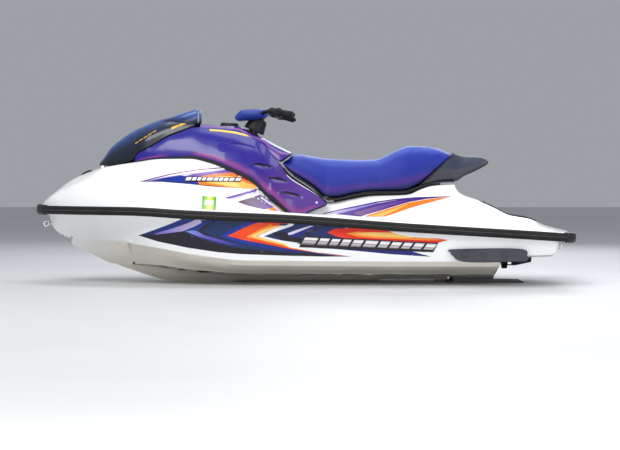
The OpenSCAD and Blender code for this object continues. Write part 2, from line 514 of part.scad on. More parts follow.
// ---- deck fittings ----
module fuel_cap() color([0.1, 0.1, 0.1]) {
    x = -1195 * kx;
    y = 135 * ky;
    rise = (deck_top(x, y + 40) - deck_top(x, y - 40)) / 80;
    pitch = (deck_top(x + 40, y) - deck_top(x - 40, y)) / 80;
    translate([x, y, deck_top(x, y) + 2]) rotate([atan(rise), -atan(pitch), 0]) {
        cylinder(d = 92, h = 10);
        translate([0, 0, 10]) cylinder(d = 76, h = 12);
    }
}
module pilot_outlet() color([0.2, 0.2, 0.2])
    translate([-349 * kx, -(breadth(topside_y, -349 * kx) + 0.5), 335]) rotate([90, 0, 0])
        cylinder(d = 16, h = 5);
mat_stations = [for (x = [20, 50, 80, 200, 350, 500, 650, 780, 900]) x * kx];
module footwell_mat()
    deck_plate(mat_stations, breadth(foot_y, 0) + 18, breadth(floor_y, 0) - 18, mat_t, 0.5);
module footwell_mat_port() color([0.16, 0.17, 0.19]) mirror([0, 1, 0]) footwell_mat();
module footwell_mat_starboard() color([0.16, 0.17, 0.19]) footwell_mat();
module rear_deck_mat() color([0.16, 0.17, 0.19]) loft([for (x = rear_mat_x * kx)
    let (w = 178 * ky, z = deck_top(x, 0) + 0.5)
    station(x, [[-w, z], [w, z], [w, z + mat_t], [-w, z + mat_t]])]);

// ---- sponsons ----
module sponson() as_mesh() difference() {
    hull() {
        translate([785 * kx, 470 * ky, 172]) cube([10, 46 * ky, 26]);
        translate([860 * kx, 470 * ky, 131]) cube([10, 38 * ky + sponson_t * 0.7, 68]);
        translate([1150 * kx, 470 * ky, 133]) cube([10, 38 * ky + sponson_t * 0.7, 66]);
        translate([1188 * kx, 470 * ky, 136]) cube([6, 34 * ky, 26]);
    }
    translate([0, 0.8, 0]) loft([for (x = hull_stations) station(x, hull_section(x))]);
    translate([0, 0.8, -3]) loft([for (x = hull_stations) station(x, hull_section(x))]);
    translate([700 * kx, -10, 0]) cube([600, 486 * ky, 300]);
}
module sponson_starboard() color([0.17, 0.18, 0.21]) sponson();
module sponson_port() color([0.17, 0.18, 0.21]) mirror([0, 1, 0]) sponson();

// ---- eyes and plugs ----
module eye() {
    // the bar's inner side is drilled out, so that a shackle's pin bears on a short round wall
    rotate([90, 0, 0]) difference() {
        rotate_extrude() translate([(eye_hole_d + eye_bar_d) / 2 - 1, 0]) circle(d = eye_bar_d);
        cylinder(d = eye_hole_d, h = eye_bar_d * 2, center = true);
    }
}
bow_eye_z = 322;
module bow_eye() color([0.75, 0.75, 0.78]) {
    translate([-1384 * kx - eye_hole_d / 2 - eye_bar_d - 8, 0, bow_eye_z]) eye();
    translate([-1384 * kx - 17, 0, bow_eye_z]) rotate([0, 90, 0]) cylinder(d = 16, h = 13);
}
stern_eye_y = 330 * ky;
stern_eye_z = 213;                  // low enough for a pin to pass under the bumpers
module stern_eyes() color([0.75, 0.75, 0.78]) both() {
    translate([transom_x + fit, stern_eye_y, stern_eye_z]) rotate([0, 90, 0]) cylinder(d = 34, h = 4);
    translate([transom_x + 2 + eye_hole_d / 2 + eye_bar_d, stern_eye_y, stern_eye_z]) eye();
}
module drain_plugs() color([0.1, 0.1, 0.1]) both()
    translate([transom_x + fit, 240 * ky, 222]) rotate([0, 90, 0]) {
        cylinder(d = 32, h = 6);
        cylinder(d = 18, h = 10);
    }

// ---- jet pump ----
pump_bore = impeller_d + 2 * tip_gap;
pump_wall = 10;
inlet_x = tunnel_x + fit;
impeller_x = inlet_x + 40;
impeller_l = 90;
stator_x = impeller_x + impeller_l + 8;
stator_l = 82;
nozzle_x = stator_x + stator_l;
nozzle_l = 118;
lip_l = 42;                         // straight end of the pump nozzle, inside the trim ring
outlet_x = nozzle_x + nozzle_l;
hub_d = 62;
module pump_housing() color([0.55, 0.56, 0.58]) difference() {
    union() {
        bar(pump_bore + 2 * pump_wall, inlet_x, stator_x - fit);
        bar(pump_bore + 2 * pump_wall + 26, inlet_x, inlet_x + 12);
        bar(pump_bore + 2 * pump_wall + 22, stator_x - 12, stator_x - fit);
        for (s = [-1, 1]) translate([inlet_x + 20, s * (pump_bore / 2 + pump_wall + 8) - 14, shaft_z - 14])
            cube([60, 28, 28]);
    }
    bar(pump_bore, inlet_x - 5, stator_x + 5);
}
module stator() color([0.55, 0.56, 0.58]) {
    difference() {
        union() {
            difference() {
                union() {
                    bar(pump_bore + 2 * pump_wall, stator_x, nozzle_x - fit);
                    bar(pump_bore + 2 * pump_wall + 22, stator_x, stator_x + 11);
                }
                bar(pump_bore, stator_x - 5, nozzle_x + 5);
            }
            bar(hub_d, stator_x, nozzle_x - fit);
            for (i = [0:vanes - 1]) translate([0, 0, shaft_z]) rotate([i * 360 / vanes, 0, 0])
                translate([stator_x + 6, -2.5, hub_d / 2 - 3])
                    cube([stator_l - 14, 5, pump_bore / 2 - hub_d / 2 + 5]);
        }
        bar(shaft_d + 2 * fit, stator_x - 5, nozzle_x + 5);
    }
}
module pump_nozzle() color([0.55, 0.56, 0.58]) difference() {
    union() {
        translate([nozzle_x, 0, shaft_z]) rotate([0, 90, 0])
            cylinder(d1 = pump_bore + 2 * pump_wall, d2 = outlet_d + 12, h = nozzle_l - lip_l);
        bar(outlet_d + 12, outlet_x - lip_l - 0.01, outlet_x);
        bar(pump_bore + 2 * pump_wall + 12, nozzle_x, nozzle_x + 10);
        both() translate([trim_x, outlet_d / 2 + 3, shaft_z]) rotate([-90, 0, 0]) cylinder(d = 22, h = 16);
        both() translate([trim_x, outlet_d / 2 + 3, shaft_z]) rotate([-90, 0, 0])
            cylinder(d = trim_pin_d, h = ring_out / 2 - outlet_d / 2 - 3);
    }
    translate([nozzle_x - 0.01, 0, shaft_z]) rotate([0, 90, 0])
        cylinder(d1 = pump_bore, d2 = outlet_d, h = nozzle_l - lip_l + 0.02);
    bar(outlet_d, outlet_x - lip_l, outlet_x + 1);
}
trim_x = outlet_x - 14;
trim_pin_d = 10;
swivel_d = outlet_d + 39;
swivel_wall = 6;
swivel_from = trim_x + 43;          // far enough back to swing clear of the trim pins
swivel_l = 104;
ring_in = swivel_d + 16;
ring_out = ring_in + 18;
ring_l = 26;
swivel_pin_z = (swivel_d - swivel_wall) / 2;
module z_pins(d, low, high) for (s = [0, 1]) translate([trim_x, 0, shaft_z]) mirror([0, 0, s])
    translate([0, 0, low]) cylinder(d = d, h = high - low);
module trim_ring() color([0.42, 0.43, 0.45]) {
    difference() {
        bar(ring_out, trim_x - ring_l / 2, trim_x + ring_l / 2);
        bar(ring_in, trim_x - ring_l, trim_x + ring_l);
        translate([trim_x, 0, shaft_z]) rotate([90, 0, 0])
            cylinder(d = trim_pin_d + 0.4, h = ring_out * 2, center = true);
    }
    z_pins(trim_pin_d, swivel_pin_z - 3, ring_in / 2 + 2);
}
module steering_nozzle() color([0.42, 0.43, 0.45]) difference() {
    union() {
        bar(swivel_d, swivel_from, swivel_from + 20);
        translate([swivel_from + 20, 0, shaft_z]) rotate([0, 90, 0])
            cylinder(d1 = swivel_d, d2 = outlet_d + 4, h = swivel_l - 20);
        z_pins(24, swivel_pin_z - 3, swivel_pin_z + 3);
        for (s = [-1, 1]) translate([trim_x, -12, shaft_z + s * swivel_pin_z - 3])
            cube([swivel_from + 3 - trim_x, 24, 6]);
    }
    bar(swivel_d - 2 * swivel_wall, swivel_from - 0.01, swivel_from + 20.01);
    translate([swivel_from + 20, 0, shaft_z]) rotate([0, 90, 0])
        cylinder(d1 = swivel_d - 2 * swivel_wall, d2 = outlet_d - 8, h = swivel_l - 20 + 0.01);
    z_pins(trim_pin_d + 0.4, swivel_pin_z - 10, swivel_pin_z + 10);
}
module drive_shaft() color([0.7, 0.7, 0.72]) {
    bar(shaft_d, engine_x + engine_l + 26, nozzle_x - 12);
    bar(84, engine_x + engine_l + 6, engine_x + engine_l + 26);
}
module impeller() color([0.72, 0.73, 0.75]) difference() {
    union() {
        bar(hub_d, impeller_x, impeller_x + impeller_l);
        intersection() {
            bar(impeller_d, impeller_x, impeller_x + impeller_l);
            for (i = [0:blades - 1]) translate([impeller_x + 6, 0, shaft_z]) rotate([i * 360 / blades, 0, 0])
                rotate([0, 90, 0]) linear_extrude(impeller_l - 12, twist = -125, slices = 9, $fn = 6)
                    translate([hub_d / 2 - 5, -2.5]) square([impeller_d / 2 - hub_d / 2 + 4.5, 5]);
        }
    }
    bar(shaft_d + 0.1, impeller_x - 5, impeller_x + impeller_l + 5);
}
plate_w = tunnel_w - 4;
plate_end = 1275 * kx;
post_w = 24;
post_y = pump_bore / 2 + pump_wall - 6;
module ride_plate() color([0.25, 0.26, 0.28]) {
    translate([tunnel_x + 4, -plate_w / 2, 0]) cube([plate_end - 60 - tunnel_x - 4, plate_w, 7]);
    for (s = [-1, 1]) translate([tunnel_x + 30, s * (plate_w / 2 - 6) - 3, 7]) cube([220, 6, 40]);
    for (s = [-1, 1]) translate([inlet_x + 38, s * post_y - post_w / 2, 7])
        cube([40, post_w, shaft_z - fit - 7
            - sqrt(pow(pump_bore / 2 + pump_wall, 2) - pow(post_y - post_w / 2, 2))]);
}
grate_z = 18;                       // the grate lies inside the slot, above the bottom's skin
module intake_grate() color([0.5, 0.51, 0.53]) {
    l = slot_l - 2 * fit;
    for (i = [-2:2]) translate([slot_x + fit, i * 26 - 3, grate_z]) cube([l, 6, 12]);
    for (x = [slot_x + fit, slot_x + slot_l - fit - 16])
        translate([x, -slot_w / 2 + 1, grate_z]) cube([16, slot_w - 2, 8]);
}

// ---- seat ----
seat_stations = [for (x = concat([-102, -88, -66, -43, -15, 10, 40, 66, 105], pedestal_x, [860, 887, 915,
    940, 965, 990, 1015, 1034])) x * kx];
seam_x = 615 * kx;                  // the seam between cushion and tail starts here at the lower edge
seam_lean = 42;
function seat_half(x, raise) =
    let (zt = height(seat_top_z, x), zl = height(seat_low_z, x) + raise, ye = seat_y(x), d = zt - zl)
    [[0, zt], [ye * 0.3, zt - d * 0.005], [ye * 0.52, zt - d * 0.05], [ye * 0.68, zt - d * 0.16],
        [ye * 0.82, zt - d * 0.42], [ye * 0.93, zt - d * 0.7], [ye, zl + min(14, d * 0.4)], [ye - 4, zl]];
function seat_ring(x) = flipped(both_sides(seat_half(x, x < 838 * kx ? pan_t + fit : 0)));
module seat_form() loft([for (x = seat_stations) station(x, seat_ring(x))]);
module behind_seam() translate([seam_x, -400, 505]) rotate([0, 90 - seam_lean, 0])
    translate([0, 0, -300]) cube([900, 800, 1500]);
module seat_cushion() color([0.04, 0.10, 0.60]) as_mesh() difference() {
    seat_form();
    behind_seam();
}
module seat_tail() color([0.08, 0.09, 0.15]) as_mesh() difference() {
    intersection() {
        seat_form();
        translate([fit, 0, -fit]) behind_seam();
    }
    // hand hold under the rear lip
    translate([912 * kx, -70, 560]) cube([50, 140, 92]);
}
pan_stations = [for (x = seat_stations) if (x >= -45 * kx && x <= 836 * kx) x];
module seat_base() color([0.1, 0.1, 0.1]) loft([for (x = pan_stations)
    let (w = seat_y(x) - 8, z = height(seat_low_z, x))
    station(x, [[-w, z], [w, z], [w, z + pan_t], [-w, z + pan_t]])]);

// ---- steering ----
bar_points = [[-222 * kx, 0, 922], [-216 * kx, 60, 924], [-205 * kx, 120, 932], [-168 * kx, 180, 938],
    [-40 * kx, bar_w / 2, 908]];
function bar_at(y) = let (a = bar_points[3], b = bar_points[4]) a + (b - a) * (y - a[1]) / (b[1] - a[1]);
module whole_bar(d) bent_bar(concat([for (p = flipped(bar_points)) if (p[1] > 0) [p[0], -p[1], p[2]]],
    bar_points), d);
module handlebar() color([0.08, 0.08, 0.08]) whole_bar(bar_d);
module grips() color([0.05, 0.05, 0.05]) both() difference() {
    union() {
        rod(bar_at(bar_w / 2 - grip_l), bar_at(bar_w / 2 + 4), grip_d);
        rod(bar_at(bar_w / 2 - grip_l - 5), bar_at(bar_w / 2 - grip_l), grip_d + 14);
    }
    rod(bar_at(bar_w / 2 - grip_l - 20), bar_at(bar_w / 2), bar_d + 0.2);
}
module on_bar_clamp(from, to, d) difference() {
    rod(bar_at(from), bar_at(to), d);
    rod(bar_at(from - 20), bar_at(to + 20), bar_d + 0.2);
}
clamp_from = bar_w / 2 - grip_l - 66;
clamp_to = bar_w / 2 - grip_l - 8;
module switch_housing() color([0.06, 0.06, 0.06])
    mirror([0, 1, 0]) on_bar_clamp(clamp_from, clamp_to, clamp_d);
module throttle_housing() color([0.06, 0.06, 0.06]) on_bar_clamp(clamp_from, clamp_to, clamp_d);
module throttle_lever() color([0.06, 0.06, 0.06]) as_mesh() difference() {
    a = bar_at(clamp_from + 30);
    b = bar_at(bar_w / 2 - 40);
    bent_bar([a + [-12, 0, 0], a + [-30, 4, -3], a + [-38, 18, -5], b + [-40, 0, -4]], 9, 10);
    rod(bar_at(clamp_from - 20), bar_at(clamp_to + 20), clamp_d + 2 * fit);
}
clamp_d = 42;
module steering_column() color([0.07, 0.07, 0.08]) difference() {
    on_column() translate([0, 0, bearing_from - 16]) cylinder(d = column_d, h = 35 - bearing_from + 16);
    whole_bar(bar_d + 0.2);
}
module bar_pad() color([0.04, 0.10, 0.45]) as_mesh() difference() {
    hull() for (s = [-1, 1]) {
        translate([-340 * kx, s * 58, 912]) sphere(d = 46, $fn = 14);
        translate([-235 * kx, s * 80, 928]) sphere(d = 44, $fn = 14);
        translate([-205 * kx, s * 60, 928]) sphere(d = 40, $fn = 14);
    }
    whole_bar(bar_d + 0.2);
    on_column() translate([0, 0, -120]) cylinder(d = column_d + 0.2, h = 155);
}

lower_hull();
deck();
rub_rail();
bow_bumper();
stern_bumpers();
storage_bin();
side_cover_port();
side_cover_starboard();
console_top();
instrument_display();
steering_bearing();
hatch_gasket();
engine_block();
engine_mounts();
fuel_cap();
pilot_outlet();
footwell_mat_port();
footwell_mat_starboard();
rear_deck_mat();
sponson_port();
sponson_starboard();
bow_eye();
stern_eyes();
drain_plugs();
ride_plate();
intake_grate();
pump_housing();
stator();
pump_nozzle();
drive_shaft();
impeller();
trim_ring();
steering_nozzle();
hood();
mirror_glasses();
hood_hinge();
seat_base();
seat_cushion();
seat_tail();
steering_column();
handlebar();
bar_pad();
grips();
switch_housing();
throttle_housing();
throttle_lever();
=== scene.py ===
"""Personal watercraft: moulded skins, graphics, padding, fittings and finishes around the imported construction."""
import math

import bmesh
import bpy
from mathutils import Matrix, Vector
from mathutils.bvhtree import BVHTree


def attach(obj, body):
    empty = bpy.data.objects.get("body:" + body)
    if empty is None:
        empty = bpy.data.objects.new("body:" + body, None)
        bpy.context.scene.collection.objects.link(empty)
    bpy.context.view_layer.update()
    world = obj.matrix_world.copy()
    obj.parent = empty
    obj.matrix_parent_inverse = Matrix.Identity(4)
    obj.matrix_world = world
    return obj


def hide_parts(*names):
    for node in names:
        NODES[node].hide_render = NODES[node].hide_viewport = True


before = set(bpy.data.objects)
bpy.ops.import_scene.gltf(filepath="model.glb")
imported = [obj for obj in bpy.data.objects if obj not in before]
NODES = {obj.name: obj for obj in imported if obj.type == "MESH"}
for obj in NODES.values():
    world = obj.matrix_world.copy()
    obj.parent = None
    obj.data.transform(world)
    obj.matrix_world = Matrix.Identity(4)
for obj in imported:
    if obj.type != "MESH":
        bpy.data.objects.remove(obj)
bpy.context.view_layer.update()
MM = 0.001

# ---- the craft's lines, in millimetres: [place along the craft, value] ----
RAIL_Z = [[-1465, 400], [-910, 396], [-584, 379], [-70, 357], [515, 315], [1387, 259], [1465, 252]]
OUTLINE = [[-1437, 6], [-1432, 40], [-1415, 88], [-1380, 140], [-1320, 205], [-1250, 262], [-1150, 327],
           [-1000, 405], [-800, 478], [-600, 520], [-350, 543], [-50, 547], [500, 547], [900, 535], [1150, 515],
           [1300, 495], [1390, 470], [1425, 440], [1437, 400]]
KEEL_Z = [[-1437, 370], [-1395, 364], [-1385, 318], [-1350, 275], [-1306, 236], [-1271, 205], [-1150, 148],
          [-1042, 100], [-950, 70], [-839, 32], [-756, 10], [-690, 0], [1050, 0], [1062, 142], [1330, 152],
          [1361, 190]]
LOW_CHINE_Y = [[-1437, 1], [-1042, 3], [-950, 90], [-873, 200], [-750, 372], [-588, 430], [-271, 466],
               [500, 470], [1050, 460], [1361, 430]]
LOW_CHINE_Z = [[-1437, 371], [-1395, 365], [-1385, 319], [-1350, 276], [-1306, 237], [-1271, 206], [-1150, 149],
               [-1042, 101], [-950, 128], [-873, 158], [-750, 180], [-588, 146], [-271, 110], [1050, 104],
               [1062, 148], [1330, 158], [1361, 194]]
CHINE_Y = [[-1437, 2], [-1300, 5], [-1185, 70], [-1100, 150], [-1000, 235], [-938, 285], [-850, 352],
           [-750, 408], [-588, 458], [-271, 496], [500, 500], [1050, 490], [1361, 458]]
CHINE_Z = [[-1437, 372], [-1395, 366], [-1385, 322], [-1350, 282], [-1306, 250], [-1250, 238], [-1185, 232],
           [-1021, 232], [-938, 225], [-750, 199], [-588, 171], [-271, 137], [1050, 131], [1062, 160],
           [1330, 166], [1361, 198]]
TOPSIDE_Y = [[-1437, 3], [-1395, 6], [-1350, 85], [-1300, 140], [-1200, 225], [-1100, 292], [-1000, 348],
             [-800, 440], [-600, 500], [-350, 530], [-50, 538], [500, 538], [900, 526], [1150, 506], [1300, 486],
             [1361, 474]]
TRAY_Z = [[-1437, 423], [-1400, 462], [-1360, 492], [-1316, 528], [-1242, 574], [-1157, 608], [-1098, 628],
          [-1060, 628], [-905, 640], [-600, 655], [-480, 636], [-357, 590], [-254, 540], [-160, 470], [-84, 445],
          [145, 440], [270, 460], [384, 478], [575, 483], [656, 514], [710, 530], [836, 540], [845, 520],
          [869, 488], [963, 450], [1063, 402], [1122, 372], [1233, 352], [1326, 315], [1437, 288]]
TRAY_Y = [[-1437, 4], [-1400, 40], [-1316, 60], [-1157, 95], [-1060, 150], [-905, 190], [-750, 245],
          [-560, 268], [-357, 268], [-160, 255], [145, 232], [600, 222], [710, 190], [836, 160], [963, 190],
          [1122, 260], [1437, 300]]
FOOT_Y = [[-1437, 8], [-1400, 75], [-1316, 115], [-1157, 175], [-1060, 205], [-905, 220], [-750, 266],
          [-560, 290], [-357, 300], [-254, 305], [-160, 312], [-60, 322], [700, 312], [900, 300], [1122, 300],
          [1437, 340]]
FOOT_Z = [[-1437, 422], [-1400, 458], [-1316, 516], [-1157, 588], [-1060, 636], [-905, 664], [-750, 684],
          [-600, 684], [-486, 658], [-413, 630], [-357, 604], [-254, 548], [-197, 492], [-160, 452], [-120, 418],
          [-84, 384], [-55, 320], [-20, 219], [0, 215], [700, 225], [950, 250], [1122, 330], [1233, 338],
          [1326, 306], [1437, 284]]
FLOOR_Y = [[-1437, 14], [-1400, 105], [-1316, 165], [-1157, 262], [-1000, 320], [-800, 385], [-560, 420],
           [-357, 435], [-254, 442], [-160, 455], [-60, 468], [700, 468], [950, 450], [1122, 430], [1300, 420],
           [1437, 370]]
FLOOR_Z = [[-1437, 421], [-1400, 448], [-1316, 498], [-1157, 552], [-1000, 580], [-800, 598], [-560, 590],
           [-357, 540], [-254, 490], [-197, 455], [-160, 436], [-120, 412], [-84, 382], [-55, 318], [-20, 217],
           [0, 213], [700, 223], [950, 246], [1122, 304], [1233, 318], [1326, 298], [1437, 281]]
CREST_Y = [[-1437, 18], [-1400, 112], [-1316, 196], [-1157, 305], [-1000, 378], [-800, 448], [-560, 490],
           [-357, 508], [-160, 512], [700, 512], [950, 500], [1122, 480], [1300, 455], [1400, 425], [1437, 385]]
CREST_RISE = [[-1437, 20], [-1400, 36], [-1316, 60], [-1157, 78], [-1000, 88], [-800, 96], [-560, 92],
              [-357, 72], [-200, 48], [-84, 38], [700, 38], [1050, 36], [1200, 30], [1437, 26]]

SHELL = 9                       # laminate thickness
BOW_WALL = 0.08                 # its share at the stem
PANEL = 6                       # wall of the cowl, console and hood
RAIL_H = 46
RAIL_T = 28
STEP_X = 1050                   # the planing bottom ends here
TRANSOM_X = 1361
SLOT = (430, 740, 79.5)         # intake opening: from, to, half width
TUNNEL = (800, 147.5, 277.5)    # pump tunnel: from, half width, roof
HATCH = (190, 750, 150)         # engine hatch: from, to, half width
BIN = (-985, -655, 150)         # storage bin's mouth


def along(keys, x):
    """Value of a line at x, on a cubic through its keys that doesn't overshoot."""
    if x <= keys[0][0]:
        return keys[0][1]
    if x >= keys[-1][0]:
        return keys[-1][1]
    i = next(n for n in range(len(keys) - 1) if x < keys[n + 1][0])

    def secant(n):
        return (keys[n + 1][1] - keys[n][1]) / (keys[n + 1][0] - keys[n][0])

    def slope(n):
        if n in (0, len(keys) - 1):
            return secant(min(n, len(keys) - 2))
        a, b = secant(n - 1), secant(n)
        return 0 if a * b <= 0 else 2 * a * b / (a + b)

    h = keys[i + 1][0] - keys[i][0]
    t = (x - keys[i][0]) / h
    return ((1 + 2 * t) * (1 - t) ** 2 * keys[i][1] + t * (1 - t) ** 2 * h * slope(i)
            + t * t * (3 - 2 * t) * keys[i + 1][1] + t * t * (t - 1) * h * slope(i + 1))


def lerp(a, b, t):
    return tuple(p + (q - p) * t for p, q in zip(a, b))


def clamp(t):
    return max(0.0, min(1.0, t))


def circle(centre, u, w, r, n):
    """n places round a centre, in the plane of u and w."""
    return [centre + (u * math.cos(k * math.tau / n) + w * math.sin(k * math.tau / n)) * r for k in range(n)]


def spread(stops, step):
    """Places from the first stop to the last, through every stop, at most step apart."""
    out = [stops[0]]
    for a, b in zip(stops, stops[1:]):
        n = max(1, math.ceil((b - a) / step))
        out += [a + (b - a) * i / n for i in range(1, n + 1)]
    return out


def eased(path, cuts, n=4):
    """The path with each inner corner turned into an arc; cuts gives how far from the corner it starts."""
    out = [path[0]]
    for i in range(1, len(path) - 1):
        a, b, c = path[i - 1], path[i], path[i + 1]
        back, ahead = math.dist(a, b), math.dist(b, c)
        p = lerp(b, a, min(cuts[i - 1], back * 0.45) / max(back, 1e-6))
        q = lerp(b, c, min(cuts[i - 1], ahead * 0.45) / max(ahead, 1e-6))
        out += [lerp(lerp(p, b, k / n), lerp(b, q, k / n), k / n) for k in range(n + 1)]
    return out + [path[-1]]


def both_sides(half):
    """A whole section from its starboard half, which runs out from the centre."""
    return [(-y, z) for y, z in reversed(half[1:])] + list(half)


# ---- mesh helpers ----
def whole(bm):
    return bm.verts[:] + bm.edges[:] + bm.faces[:]


def only(kind, geom):
    return [g for g in geom if isinstance(g, kind)]


def both(bm, merge=1e-6):
    bmesh.ops.mirror(bm, geom=whole(bm), axis="Y", merge_dist=merge)


def as_mesh(name, bm):
    mesh = bpy.data.meshes.new(name)
    bm.to_mesh(mesh)
    bm.free()
    return mesh


def linked(name, data):
    made = bpy.data.objects.new(name, data)
    bpy.context.scene.collection.objects.link(made)
    return made


def placed(name, bm, materials, body, replaces=()):
    """The object: smooth faces, its finishes, and the body that it rides on."""
    mesh = as_mesh(name, bm)
    mesh.polygons.foreach_set("use_smooth", [True] * len(mesh.polygons))
    piece = linked(name, mesh)
    for m in materials if isinstance(materials, (list, tuple)) else [materials]:
        mesh.materials.append(m)
    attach(piece, body)
    if replaces:
        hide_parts(*replaces)
    return piece


def skin(bm, rings, closed=False, cap=()):
    """Sweeps a chain of points through the rings: its edges are extruded and moved into place."""
    chain = [bm.verts.new(p) for p in rings[0]]
    n = len(chain)
    pairs = [(i, (i + 1) % n) for i in range(n if closed else n - 1)]
    edges = [bm.edges.new((chain[a], chain[b])) for a, b in pairs]
    ends = [list(edges)]
    for ring in rings[1:]:
        fresh = set(only(bmesh.types.BMVert, bmesh.ops.extrude_edge_only(bm, edges=edges)["geom"]))
        chain = [next(o for o in (e.other_vert(v) for e in v.link_edges) if o in fresh) for v in chain]
        for v, p in zip(chain, ring):
            v.co = p
        edges = [bm.edges.get((chain[a], chain[b])) for a, b in pairs]
        ends.append(list(edges))
    for which in cap:
        bmesh.ops.contextual_create(bm, geom=ends[which])
    return ends


def station(x, section):
    return [(x * MM, y * MM, z * MM) for y, z in section]


def finished(name, bm, materials, body, smooth=35, outward=None, replaces=()):
    """Makes the object: normals out, smooth but for its sharp edges, riding on its body."""
    bmesh.ops.remove_doubles(bm, verts=bm.verts, dist=1e-6)
    bmesh.ops.recalc_face_normals(bm, faces=bm.faces)
    if outward is not None:
        best = max(bm.faces, key=lambda f: f.calc_center_median().dot(Vector(outward)) * f.calc_area() ** 0.2)
        if best.normal.dot(Vector(outward)) < 0:
            bmesh.ops.reverse_faces(bm, faces=bm.faces)
    piece = placed(name, bm, materials, body, replaces)
    piece.data.set_sharp_from_angle(angle=math.radians(smooth))
    return piece


def thicken(piece, t, offset=-1):
    m = piece.modifiers.new("wall", "SOLIDIFY")
    m.thickness = t * MM
    m.offset = offset
    m.use_even_offset = True
    m.thickness_clamp = 1.5
    return m


def soften(piece, width, segments=2, angle=35):
    m = piece.modifiers.new("edge", "BEVEL")
    m.width = width * MM
    m.segments = segments
    m.limit_method = "ANGLE"
    m.angle_limit = math.radians(angle)
    m.use_clamp_overlap = True
    m.harden_normals = False
    return m


# ---- finishes ----
class Finish:
    """A node-based finish: a shader whose colour, roughness and relief come from patterns on the piece."""

    def __init__(self, name, roughness=0.4, metallic=0.0, coat=0.0, coat_roughness=0.05, ior=1.5, specular=0.5):
        self.material = bpy.data.materials.new(name)
        self.material.use_nodes = True
        self.tree = self.material.node_tree
        self.shader = self.tree.nodes["Principled BSDF"]
        self.place = self.node("ShaderNodeTexCoord").outputs["Object"]
        for key, value in {"Roughness": roughness, "Metallic": metallic, "Coat Weight": coat,
                           "Coat Roughness": coat_roughness, "IOR": ior, "Specular IOR Level": specular}.items():
            self.shader.inputs[key].default_value = value

    def node(self, kind, inputs=None, **settings):
        made = self.tree.nodes.new(kind)
        for key, value in settings.items():
            setattr(made, key, value)
        for key, value in (inputs or {}).items():
            if isinstance(value, bpy.types.NodeSocket):
                self.tree.links.new(value, made.inputs[key])
            else:
                made.inputs[key].default_value = value
        return made

    def noise(self, scale, detail=3.0, stretch=(1, 1, 1)):
        at = self.node("ShaderNodeMapping", {"Vector": self.place, "Scale": stretch}).outputs[0]
        return self.node("ShaderNodeTexNoise", {"Vector": at, "Scale": scale, "Detail": detail}).outputs["Fac"]

    def ramp(self, value, stops, smooth=False):
        made = self.node("ShaderNodeValToRGB", {"Fac": value})
        made.color_ramp.interpolation = "EASE" if smooth else "LINEAR"
        elements = made.color_ramp.elements
        while len(elements) < len(stops):
            elements.new(0.5)
        for element, (at, color) in zip(elements, stops):
            element.position = at
            element.color = (*color, 1) if len(color) == 3 else color
        return made.outputs["Color"]

    def attribute(self, name):
        return self.node("ShaderNodeAttribute", attribute_name=name).outputs["Fac"]

    def math(self, operation, a, b=0.0):
        return self.node("ShaderNodeMath", {0: a, 1: b}, operation=operation).outputs[0]

    def mix(self, factor, a, b):
        made = self.node("ShaderNodeMix", data_type="RGBA")
        for key, value in ((0, factor), (6, a), (7, b)):
            if isinstance(value, bpy.types.NodeSocket):
                self.tree.links.new(value, made.inputs[key])
            else:
                made.inputs[key].default_value = (*value, 1) if isinstance(value, tuple) else value
        return made.outputs[2]

    def slant(self, direction, start, end):
        """0 to 1 between two distances, in millimetres, along a direction."""
        dot = self.node("ShaderNodeVectorMath", {0: self.place, 1: direction}, operation="DOT_PRODUCT")
        return self.node("ShaderNodeMapRange", {"Value": dot.outputs["Value"], "From Min": start * MM,
                                                "From Max": end * MM}).outputs[0]

    def color(self, value):
        if isinstance(value, tuple):
            self.shader.inputs["Base Color"].default_value = (*value, 1)
        else:
            self.tree.links.new(value, self.shader.inputs["Base Color"])
        return self

    def rough(self, value, low, high):
        span = self.node("ShaderNodeMapRange", {"Value": value, "To Min": low, "To Max": high}).outputs[0]
        self.tree.links.new(span, self.shader.inputs["Roughness"])
        return self

    def embossed(self, grain=900):
        """The creases of vinyl: small cells over a slow wave."""
        cells = self.node("ShaderNodeTexVoronoi", {"Vector": self.place, "Scale": grain}, feature="DISTANCE_TO_EDGE")
        return self.math("ADD", self.math("MULTIPLY", cells.outputs["Distance"], 2.0), self.noise(120, 4))

    def relief(self, height, distance, strength=1.0):
        bump = self.node("ShaderNodeBump", {"Height": height, "Distance": distance * MM, "Strength": strength})
        self.tree.links.new(bump.outputs[0], self.shader.inputs["Normal"])
        return self


def tinted(f, base, spread_by=0.06, scale=6.0):
    """The base colour with a slow drift lighter and darker."""
    low = tuple(c * (1 - spread_by) for c in base)
    high = tuple(min(1, c * (1 + spread_by)) for c in base)
    return f.ramp(f.noise(scale, 4), [(0.3, low), (0.7, high)])


def gelcoat():
    f = Finish("gelcoat_white", 0.18, coat=0.6, coat_roughness=0.04)
    f.color(f.ramp(f.noise(3.0, 5), [(0.3, (0.80, 0.81, 0.82)), (0.7, (0.86, 0.865, 0.87))]))
    f.rough(f.noise(40, 4), 0.12, 0.26)
    return f.relief(f.noise(18, 2), 0.25, 0.25).material


